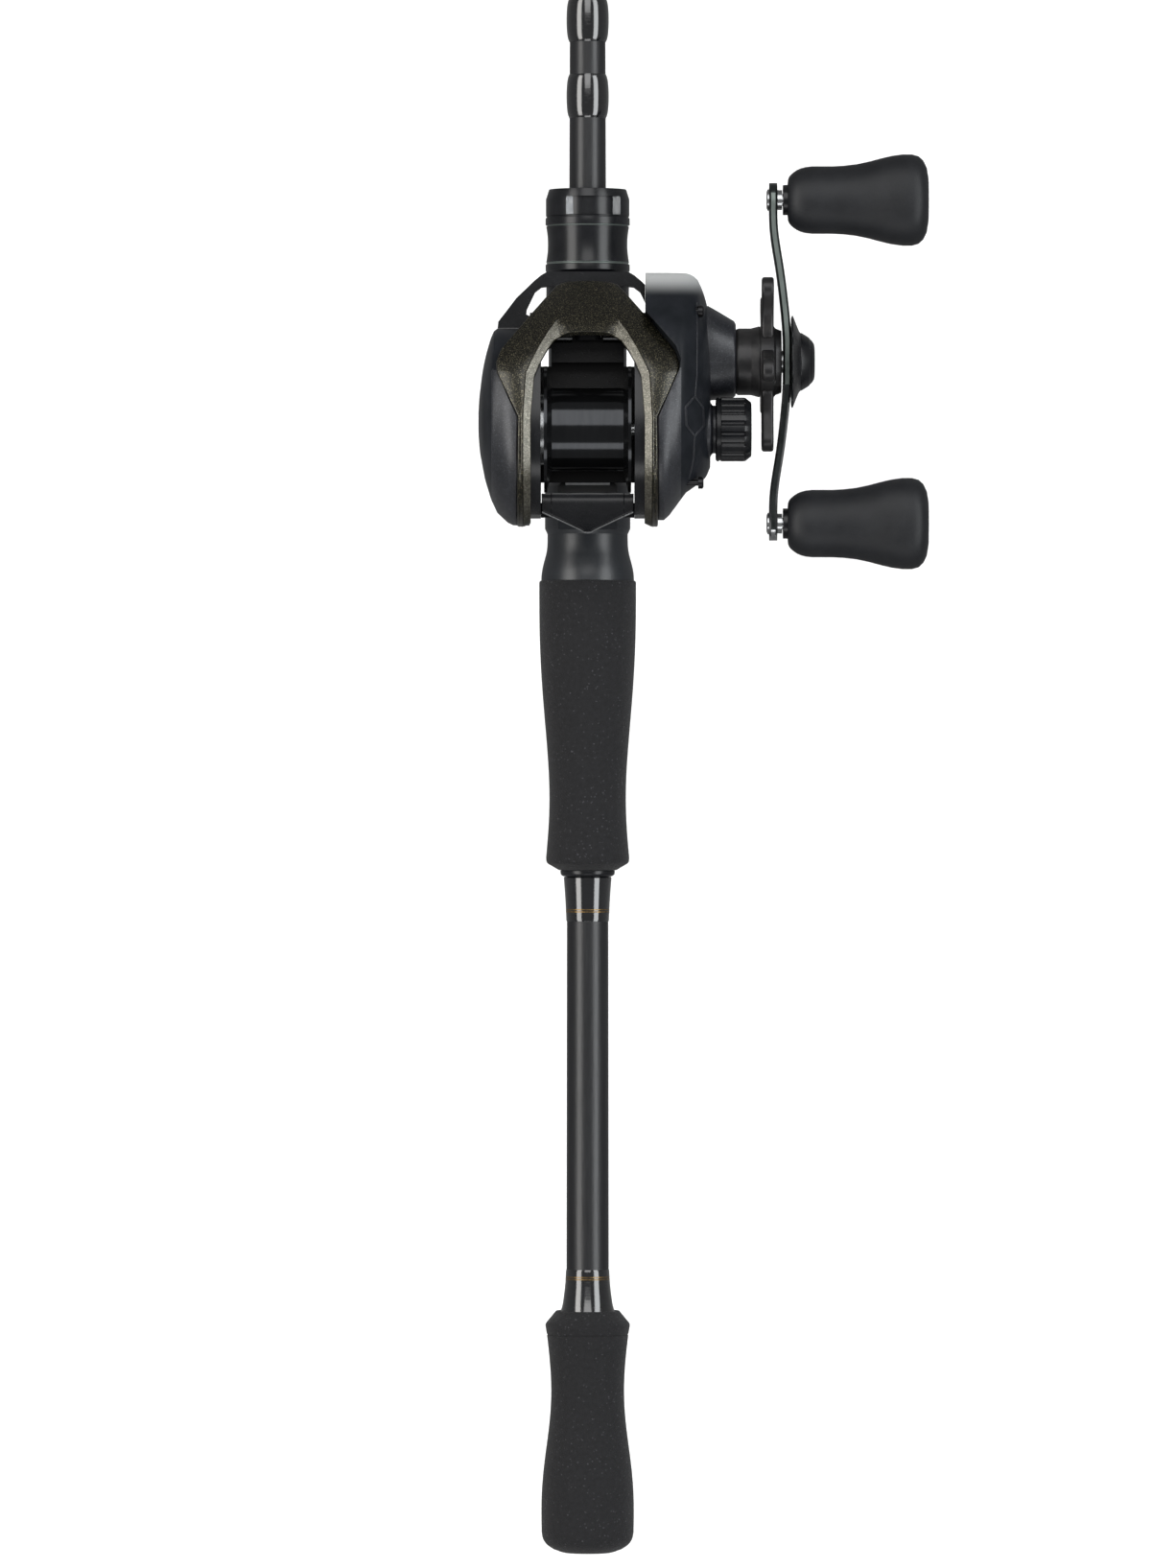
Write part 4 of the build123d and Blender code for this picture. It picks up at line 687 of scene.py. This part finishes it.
def shell_side(name, side, plan, front, stations, size=180):
    """A side plate lofted along X: the side view's outline fitted, at each station, between the ends that the
    plan and the front view give there."""
    outline = cubic(side, closed=True, count=size)
    low, high = outline.min(axis=0), outline.max(axis=0)
    rings = []
    for x in stations:
        y0, y1 = limits(plan, x)
        z0, z1 = limits(front, x)
        y0, y1, z0, z1 = max(y0, low[0]), min(y1, high[0]), max(z0, low[1]), min(z1, high[1])
        rings.append([(x, y0 + (y - low[0]) / (high[0] - low[0]) * (y1 - y0),
                       z0 + (z - low[1]) / (high[1] - low[1]) * (z1 - z0)) for y, z in outline])
    return build(name, *skin(rings), sharp=30)


COVER_EDGE = [(18.9, 270.0), (18.6, 306.7), (24.2, 319.5), (24.6, 322.5), (23.2, 326.0), (9.7, 342.0),
              (7.7, 348.0)]
COVER_GAP = 0.35


def cover_gap():
    """The room that the side plates leave for the cover."""
    half = [(x + COVER_GAP, y) for x, y in COVER_EDGE]
    under = [roof_point(0, y, COVER_THICKNESS + COVER_GAP)[1:] for y in np.linspace(278.2, 343.8, 60)]
    column = slab("room", half + [(-x, y) for x, y in reversed(half)], 27.0, 80.0, "z")
    wedge = [(260.0, 27.5), (270.0, 27.5), *under, (350.0, 27.5), (360.0, 27.5), (360.0, 90.0), (260.0, 90.0)]
    return combine(column, slab("over", wedge, -40.0, 40.0, "x"), "INTERSECT")


# In front of NOSE_Y, and beyond the rims' X, the plates get a darker copy of their paint: painted shade on
# the sides and fronts that turn away from the light.
NOSE_Y, PALM_RIM_X, GEAR_RIM_X = 319.5, -25.75, 25.0
PALM_SIDE = [(331.2, 27.0), (327.0, 40.5), (316.5, 49.0), (304.0, 51.6), (291.5, 48.4), (281.8, 39.5),
             (278.2, 29.0), (281.5, 17.5), (291.5, 9.5), (305.0, 7.4), (318.5, 9.8), (328.0, 16.5)]
PALM_PLAN = [(-15.6, 331.6), (-24.2, 331.6), (-25.1, 330.8), (-26.2, 328.2), (-27.5, 323.6), (-28.4, 319.0),
             (-29.1, 313.0), (-29.5, 306.5), (-29.45, 304.0), (-29.0, 298.0), (-27.6, 290.5), (-25.9, 285.0),
             (-24.3, 281.6), (-21.5, 279.0), (-19.0, 277.8), (-15.6, 277.8)]
PALM_FRONT = [(-15.6, 7.2), (-21.5, 7.6), (-25.0, 10.0), (-27.6, 14.0), (-29.0, 20.0), (-29.5, 27.0),
              (-29.2, 36.0), (-28.2, 42.5), (-26.3, 47.0), (-25.7, 48.1), (-21.0, 51.0), (-15.6, 52.0)]
PALM_STATIONS = [-15.6, -17.0, -18.5, -20.0, -21.5, -23.0, -24.3, -25.2, -25.6, -25.8, -26.1, -26.6, -27.2,
                 -27.7, -28.2, -28.6, -28.9, -29.1, -29.25, -29.35]
palm = shell_side("palm_shell", PALM_SIDE, PALM_PLAN, PALM_FRONT, PALM_STATIONS)
combine(palm, cover_gap(), sharp=28)
soften(palm, 0.25, 2, 40)
# Painted shade: the palm plate's outer side and front get the darker graphite.
painted(palm, [GRAPHITE, GRAPHITE_SHADE], lambda x, y, z, normal: int(x < PALM_RIM_X or y > NOSE_Y))
finished(palm, None, "palm_plate")

GEAR_SIDE = [(346.4, 24.0), (342.0, 34.8), (333.0, 43.4), (320.0, 49.4), (306.0, 51.2), (292.5, 48.6),
             (283.0, 41.2), (279.6, 31.0), (282.6, 19.5), (291.0, 10.3), (304.0, 4.0), (320.0, 1.7),
             (335.0, 4.6), (343.6, 12.6)]
GEAR_PLAN = [(15.6, 276.0), (15.6, 346.6), (18.0, 346.6), (26.5, 346.4), (28.3, 345.9), (29.7, 344.6),
             (31.0, 341.8), (32.0, 338.7), (32.6, 335.0), (33.0, 330.0), (33.0, 294.0), (32.0, 291.5),
             (30.7, 290.0), (26.4, 287.0), (22.5, 281.6), (20.5, 279.0), (19.0, 277.8), (15.6, 277.8)]
GEAR_FRONT = [(15.6, 1.2), (26.5, 1.6), (29.5, 3.2), (31.5, 6.0), (32.7, 10.0), (33.0, 15.0), (33.0, 33.0),
              (32.5, 37.0), (31.0, 42.0), (29.8, 44.6), (29.3, 45.4), (25.0, 49.4), (19.0, 51.6),
              (15.6, 51.8)]
GEAR_STATIONS = [15.6, 16.6, 17.8, 19.0, 20.5, 22.0, 23.5, 25.0, 26.5, 27.7, 28.7, 29.2, 29.4, 29.7, 30.2,
                 30.7, 31.2, 31.7, 32.1, 32.45, 32.7, 32.88, 32.98]
gear_shell = shell_side("gear_shell", GEAR_SIDE, GEAR_PLAN, GEAR_FRONT, GEAR_STATIONS, 220)
combine(gear_shell, cover_gap(), sharp=28)
soften(gear_shell, 0.25, 2, 40)


BOSS_END = 39.9


def boss_swell(angle, distance, radius):
    """Widens the boss towards the nose, where it flows into the plate."""
    if radius < 8.8 or distance > BOSS_END:
        return radius
    rise = max(0.0, min(1.0, (BOSS_END - distance) / 7.5))
    return radius + (1.2 + 3.4 * rise) * max(0.0, -math.cos(angle)) ** 1.3


main_boss = turned("main_boss", rounded([(28.0, 0.0), (28.0, 10.6), (32.5, 10.5), (34.5, 10.3),
                                         (39.4, 9.6), (39.85, 9.1), (39.95, 8.6), (39.95, 4.2), (38.0, 4.2),
                                         (38.0, 0.0)], 0.25), MAIN, TO_CRANK, 128, boss_swell)
spool_boss = turned("spool_boss", rounded([(28.0, 0.0), (28.0, 7.6), (32.9, 7.6), (33.2, 7.0), (33.6, 6.45),
                                           (38.3, 6.45), (38.45, 6.2), (38.45, 0.0)], 0.2), SPOOL, TO_CRANK)


def top_of(shape, x, y):
    """Height of a piece's upper surface over a point."""
    hit, place, _, _ = shape.ray_cast(Vector((x * MM, y * MM, 0.2)), Vector((0, 0, -1)))
    return place.z / MM if hit else 0.0


RIDGE_SECTION = [(-1.0, -0.4), (-0.8, 0.4), (-0.4, 0.9), (0.0, 1.0), (0.4, 0.9), (0.8, 0.4), (1.0, -0.4)]


def raised_line(name, shape, points, width, height=0.22, closed=False):
    """A low rounded ridge that follows a path over a piece's upper surface."""
    path = softened(points, 0.3, 0.6)
    if closed:
        path = path[:-1]
    rings = []
    for k, (x, y) in enumerate(path):
        before = path[k - 1] if k or closed else path[k]
        after = path[(k + 1) % len(path)] if closed or k + 1 < len(path) else path[k]
        way = np.array(after) - np.array(before)
        way = way / np.linalg.norm(way)
        side = np.array((-way[1], way[0]))
        ring = []
        for across, up in RIDGE_SECTION:
            px, py = x + side[0] * across * width / 2, y + side[1] * across * width / 2
            ring.append((px, py, top_of(shape, px, py) + up * height))
        rings.append(ring)
    if closed:
        rings.append(rings[0])
    return build(name, *skin(rings, caps=not closed), sharp=50)


HEXAGON = [(28.7, 301.7), (26.4, 304.6), (26.2, 309.4), (28.7, 312.4), (31.0, 309.4), (31.1, 304.6),
           (28.7, 301.7)]
REAR_STEM = [(28.7, 301.6), (28.4, 296.0), (27.2, 290.5)]
FRONT_STEM = [(28.8, 312.5), (29.3, 318.0), (29.4, 326.0), (29.3, 338.0)]
PINION_ROOM = [(17.0, 0.0), (17.0, 6.2), (29.45, 6.2), (29.45, 0.0)]
for hollowed in (gear_shell, spool_boss):
    combine(hollowed, turned("pinion_room", PINION_ROOM, SPOOL, TO_CRANK, 48), sharp=28)
gear_lines = [raised_line("ridge", gear_shell, HEXAGON, 0.7, 0.3, True),
              raised_line("stem", gear_shell, REAR_STEM, 0.55),
              raised_line("stem", gear_shell, FRONT_STEM, 0.5)]
applied(gear_shell)
# Painted shade on the gear plate's outer side and front, and the painted highlight at its nose.
painted(gear_shell, [GRAPHITE, GRAPHITE_SHADE_NOSE_HIGHLIGHT], lambda x, y, z, normal: int(x > GEAR_RIM_X or y > NOSE_Y))
extras = [painted(extra, [GRAPHITE]) for extra in (main_boss, spool_boss, *gear_lines)]
gear_plate = join("gear_side", [gear_shell, *extras])
finished(gear_plate, None, "gear_plate")

# ======== Crank ========


def arm_line(way):
    """X and distance from the crank's axis along one half of the arm, ahead of the axis or behind it."""
    path = [(50.0, 48.2), (50.0, 43.6), (50.15, 36.0), (51.5, 26.5), (53.1, 14.0), (53.7, 6.0), (53.7, 0.0)]
    return [(x, way * r) for x, r in cubic(path, count=70)]


# Distance from the crank's axis and half the arm's width there.
ARM_WIDTHS = [(0.0, 6.2), (8.0, 6.0), (22.0, 4.8), (36.0, 4.55), (43.6, 4.6), (45.6, 4.1), (47.2, 2.9),
              (48.15, 0.7), (48.2, 0.25)]
# Half the arm's thickness, and how deep its chamfers cut into the outer side, the inner side and the edges.
ARM_HALF, OUTER_CUT, INNER_CUT, EDGE_CUT = 1.1, 0.5, 0.55, 0.55
arm_path = arm_line(1) + arm_line(-1)[::-1][1:]
arm_rings = []
for number, (x, r) in enumerate(arm_path):
    before, after = arm_path[max(number - 1, 0)], arm_path[min(number + 1, len(arm_path) - 1)]
    run = Vector((after[0] - before[0], after[1] - before[1])).normalized()
    normal = Vector((run.y, -run.x))
    half = float(np.interp(abs(r), *zip(*ARM_WIDTHS)))
    flat = half - min(EDGE_CUT, half * 0.5)
    section = [(ARM_HALF, flat), (ARM_HALF - OUTER_CUT, half)]
    section += [(INNER_CUT - ARM_HALF, half), (-ARM_HALF, flat)]
    section += [(out, -wide) for out, wide in reversed(section)]
    arm_rings.append([(x + normal.x * out, MAIN[1] + r + normal.y * out, MAIN[2] + wide)
                      for out, wide in section])


def arm_highlight_paint(x, y, z, normal):
    """Painted highlights: a lighter satin colour on the front half's upper flat, and bright steel on the rear
    half's upper chamfers.
    """
    front_half = y > MAIN[1] - 6.0
    if normal.z > 0.9 and front_half:
        return 1
    return 2 if 0.25 < normal.z < 0.9 and not front_half else 0


arm = painted(build("crank_arm", *skin(arm_rings), sharp=25), [DARK_ALLOY, SATIN_HIGHLIGHT, STEEL_AND_GLINT], arm_highlight_paint)
finished(arm, None, "handle_arm")

# Distance from a knob's inner end, then half the knob's width along the rod and half its height there.
KNOB_TABLE = [(0.0, 4.6, 4.2), (0.1, 5.6, 5.0), (0.4, 6.3, 5.6), (0.9, 6.9, 6.1), (1.6, 7.5, 6.6),
              (2.5, 8.1, 7.05), (3.5, 8.55, 7.35), (4.8, 8.9, 7.6), (6.5, 9.1, 7.7), (9.0, 9.1, 7.65),
              (12.0, 9.1, 7.55), (15.0, 9.25, 7.5), (18.5, 9.65, 7.6), (22.0, 10.4, 7.95), (25.0, 11.2, 8.4),
              (28.0, 11.9, 8.9), (31.0, 12.3, 9.2), (33.5, 12.3, 9.15), (35.3, 11.8, 8.8), (36.6, 10.6, 7.95),
              (37.5, 8.7, 6.5), (37.95, 6.0, 4.6), (38.0, 3.0, 2.4)]
KNOB_START, KNOB_SEGMENTS = 53.9, 96


def oval(value, power):
    """A sine or cosine bent towards a squarer oval."""
    return math.copysign(abs(value) ** (2 / power), value)


def knob(name, node, side):
    """A soft knob: oval sections along X, squarer near the broad outer end, and a collar at its inner end."""
    centre_y = MAIN[1] + side * HANDLE_RADIUS
    rings = []
    for along, across, tall in KNOB_TABLE:
        power = 2.0 + 0.35 * math.exp(-((along - 30) / 7) ** 2)
        ring = []
        for k in range(KNOB_SEGMENTS):
            a = 2 * math.pi * k / KNOB_SEGMENTS
            ring.append((KNOB_START + along, centre_y + across * oval(math.cos(a), power),
                         MAIN[2] + tall * oval(math.sin(a), power)))
        rings.append(ring)
    body = build(name, *skin(rings), sharp=35)
    collar = turned("collar", rounded([(52.6, 2.3), (52.6, 4.1), (54.3, 4.1), (54.3, 2.3)], 0.2),
                    (0, centre_y, MAIN[2]), TO_CRANK, 64)
    finished(join(name, [painted(body, [RUBBER]), painted(collar, [BLACK])]), None, node)


knob("front_knob", "knob_a", 1)
knob("rear_knob", "knob_b", -1)

retainer_profile = rounded([(54.86, 5.4), (54.86, 12.2), (55.05, 12.6), (55.3, 12.55), (56.2, 10.2),
                            (57.0, 8.2), (57.4, 7.75), (57.6, 7.8), (58.6, 7.2), (59.7, 6.5), (59.85, 6.2),
                            (60.5, 5.6), (61.0, 4.8), (61.2, 3.8), (61.1, 3.2), (60.9, 3.0), (60.9, 0.0),
                            (58.5, 0.0), (58.5, 5.4), (54.86, 5.4)], 0.15)


def retainer_swell(angle, distance, radius):
    """Presses six shallow notches into the retainer's rim."""
    return radius - (0.5 * max(0.0, math.cos(6 * angle)) ** 4 if radius > 9.0 else 0.0)


finished(turned("nut_cap", retainer_profile, MAIN, TO_CRANK, 144, retainer_swell), BLACK, "nut_retainer")

# ======== Star drag and cast control ========

star_hub = turned("star_hub", rounded([(39.98, 3.2), (39.98, 8.7), (40.6, 9.0), (44.0, 9.0), (46.2, 9.6),
                                       (46.4, 9.4), (46.6, 9.7), (50.1, 9.7), (50.6, 9.0), (52.2, 8.4),
                                       (52.2, 3.2)], 0.15) + [(39.98, 3.2)], MAIN, TO_CRANK, 128)
# Distance from the crank's axis and offset to either side, around one arm.
STAR_ARM = [(8.6, -4.1), (12.5, -3.0), (17.0, -2.5), (20.5, -3.1), (23.0, -2.9), (24.2, -1.6), (24.3, 1.6),
            (23.0, 2.9), (20.5, 3.1), (17.0, 2.5), (12.5, 3.0), (8.6, 4.1)]
arms = []
for number in range(5):
    heading = math.radians(26 + 72 * number)
    outline = [(MAIN[1] + radius * math.cos(heading) - across * math.sin(heading),
                MAIN[2] + radius * math.sin(heading) + across * math.cos(heading))
               for radius, across in cubic(STAR_ARM, closed=True, count=60)]
    arms.append(slab("star_arm", outline, 46.75, 50.05, "x", bevel=0.7))
finished(join("star", [star_hub, *arms]), STAR_ALLOY, "star_drag")

cast_profile = [(34.4, 6.6), (34.4, 8.1), (34.75, 8.6), (35.2, 8.6), (35.35, 8.35), (35.7, 8.35),
                (35.85, 8.6), (42.0, 8.6), (42.4, 8.5), (43.9, 7.3), (44.0, 7.0), (44.0, 5.4), (43.6, 5.1),
                (43.6, 0.0), (39.5, 0.0), (39.5, 6.6), (34.4, 6.6)]


def cast_swell(angle, distance, radius):
    """Cuts 18 flutes along the cast control's grip."""
    if not 35.9 < distance < 42.2 or radius < 8.0:
        return radius
    return radius - 0.75 * max(0.0, math.cos(18 * angle)) ** 0.8


# Long runs towards the crank get more points, so that the flutes have some along them.
cast_points = []
for (a, ra), (b, rb) in zip(cast_profile, cast_profile[1:]):
    cast_points.append((a, ra))
    if b - a > 2.0:
        cast_points += [(a + (b - a) * s, ra + (rb - ra) * s) for s in (0.03, 0.1, 0.5, 0.9, 0.97)]
cast_points.append(cast_profile[-1])
cast_knob = turned("cast_knob", cast_points, SPOOL, TO_CRANK, 288, cast_swell, 30)
finished(cast_knob, BLACK, "cast_control_knob")

# ======== Thumb bar ========

thumb_top = cubic([(275.95, 29.8), (279.0, 33.6), (283.5, 37.1), (286.4, 38.35), (287.55, 38.0)], count=40)
THUMB_EDGE = [(0.0, 276.05), (0.9, 276.2), (1.8, 276.75), (8.0, 279.6), (12.3, 281.5)]
# Half the raised panel's width, the step beside it, where the bar's sides drop, and Y of its front edge.
PANEL, PANEL_STEP, BAR_SIDE, BAR_FRONT = 9.6, 0.25, 12.2, 287.55
THUMB_PRESS, SPOOL_CLEARANCE = 4.0, 17.8


def rear_edge(x):
    """Y of the bar's pointed rear edge at a distance to either side."""
    return float(np.interp(abs(x), *zip(*THUMB_EDGE)))


def clear_of_spool(z, press):
    """The furthest Y that stays clear of the spool's flanges once the bar has sunk by its press."""
    across = SPOOL_CLEARANCE ** 2 - (z - press - SPOOL[2]) ** 2
    return SPOOL[1] - math.sqrt(across) if across > 0 else math.inf


def thumb_ring(x):
    """A section of the thumb bar: a lip along its pointed rear edge, then the sloping top and the wall."""
    rear = rear_edge(x)
    sink = 0.25 + (0.4 if abs(x) > PANEL else 0.0) + (0.3 if abs(x) > BAR_SIDE else 0.0)
    crown = 0.25 * (1 - (x / 12.4) ** 2)

    def height(y):
        return float(np.interp(y, thumb_top[:, 0], thumb_top[:, 1])) - sink

    low = height(rear)
    ring = [(x, rear, low - 0.9), (x, rear + 0.34, low - 0.6), (x, rear + 0.46, low - 0.55),
            (x, rear + 0.62, low + 0.05)]
    for share in np.linspace(0.0, 1.0, 36) ** 1.3:
        y = rear + 0.8 + share * (BAR_FRONT - rear - 0.8)
        ring.append((x, y, height(y) + crown * min(1.0, share * 6)))
    ring += [(x, BAR_FRONT, 37.0), (x, 286.6, 33.4), (x, 285.9, 30.0), (x, 285.9, 27.1)]
    ring += [(x, rear + 0.6, min(27.1, low - 1.2)), (x, rear + 0.1, min(27.6, low - 1.0))]
    return [(x, min(y, clear_of_spool(z, 0.0), clear_of_spool(z, THUMB_PRESS)), z) for x, y, z in ring]


def thumb_highlight_paint(x, y, z, normal):
    """Painted highlights: bright steel on the lip and on the steps beside the panel; black elsewhere."""
    step = PANEL < abs(x) < PANEL + PANEL_STEP and 282.5 < y < 286.6
    return int(normal.z > 0.3 and (y - rear_edge(x) < 0.3 or step))


THUMB_HALF = [0.0, 0.5, 0.9, 1.3, 1.8, 3, 4.5, 6, 7.5, 8.5, 9.3, PANEL, PANEL + PANEL_STEP, 10.3, 11.0, 11.7,
              BAR_SIDE, 12.35]
thumb_rings = [thumb_ring(x) for x in [-x for x in THUMB_HALF[:0:-1]] + THUMB_HALF]
thumb = painted(build("thumb_rest", *skin(thumb_rings), sharp=26), [BLACK, STEEL_AND_GLINT], thumb_highlight_paint)
finished(thumb, None, "thumb_bar")

# ======== Camera, floor and light ========

# The frame is FRAME_HEIGHT tall at the height SCALE_PLANE, and the camera looks straight down on its middle.
FRAME_HEIGHT, SCALE_PLANE, LENS, SENSOR = 424.7, 8.0, 250.0, 36.0
CAMERA_X, CAMERA_Y = 0.1, 208.7
camera_data = bpy.data.cameras.new("camera")
camera_data.lens = LENS
camera_data.sensor_width = SENSOR
camera_data.clip_start, camera_data.clip_end = 0.1, 60.0
camera = bpy.data.objects.new("camera", camera_data)
camera.location = (CAMERA_X * MM, CAMERA_Y * MM, (SCALE_PLANE + FRAME_HEIGHT * LENS / SENSOR) * MM)
bpy.context.scene.collection.objects.link(camera)
bpy.context.scene.camera = camera

FLOOR_Z, FLOOR_HALF = -90.0, 6000.0
corners = [(-1, -1), (1, -1), (1, 1), (-1, 1)]
floor = build("floor", [(x * FLOOR_HALF, y * FLOOR_HALF, FLOOR_Z) for x, y in corners], [(0, 1, 2, 3)])
painted(floor, [material("studio_paper", (0.93, 0.93, 0.93), (0.96, 0.96, 0.96), 0.9, 0.05,
                         grain=(400.0, 0.00002), mottle=6.0)])
# Hidden from glossy rays, so that the black sides don't mirror it.
floor.visible_glossy = False


def soft_box(name, place, target, size, radiance, colour=(1, 1, 1)):
    """A soft box aimed at a point, its first side level, that the camera doesn't see. Its radiance sets its
    power, so it looks as bright at any size."""
    data = bpy.data.lights.new(name, "AREA")
    data.shape = "RECTANGLE"
    data.size, data.size_y = size
    data.energy = radiance * math.pi * size[0] * size[1]
    data.color = colour
    light = bpy.data.objects.new(name, data)
    light.location = place
    light.rotation_euler = (Vector(target) - Vector(place)).to_track_quat("-Z", "Y").to_euler()
    light.visible_camera = False
    bpy.context.scene.collection.objects.link(light)


soft_box("left_box", (-3.3, 0.8, 3.1), (0, 0.8, 0), (7.0, 2.0), 4.5, (1.0, 0.985, 0.96))
soft_box("right_box", (3.3, 0.8, 3.1), (0, 0.8, 0), (7.0, 2.0), 4.5, (0.96, 0.985, 1.0))
soft_box("front_box", (0.0, 2.42, 3.39), (0, 0.3, 0), (2.2, 3.2), 2.4)
soft_box("back_box", (0.0, -2.69, 2.68), (0, 0.28, 0), (2.2, 1.25), 2.4)

world = bpy.data.worlds.new("studio")
world.use_nodes = True
background = world.node_tree.nodes["Background"]
background.inputs["Color"].default_value = (1, 1, 1, 1)
background.inputs["Strength"].default_value = 0.22
bpy.context.scene.world = world
bpy.context.scene.view_settings.view_transform = "Standard"
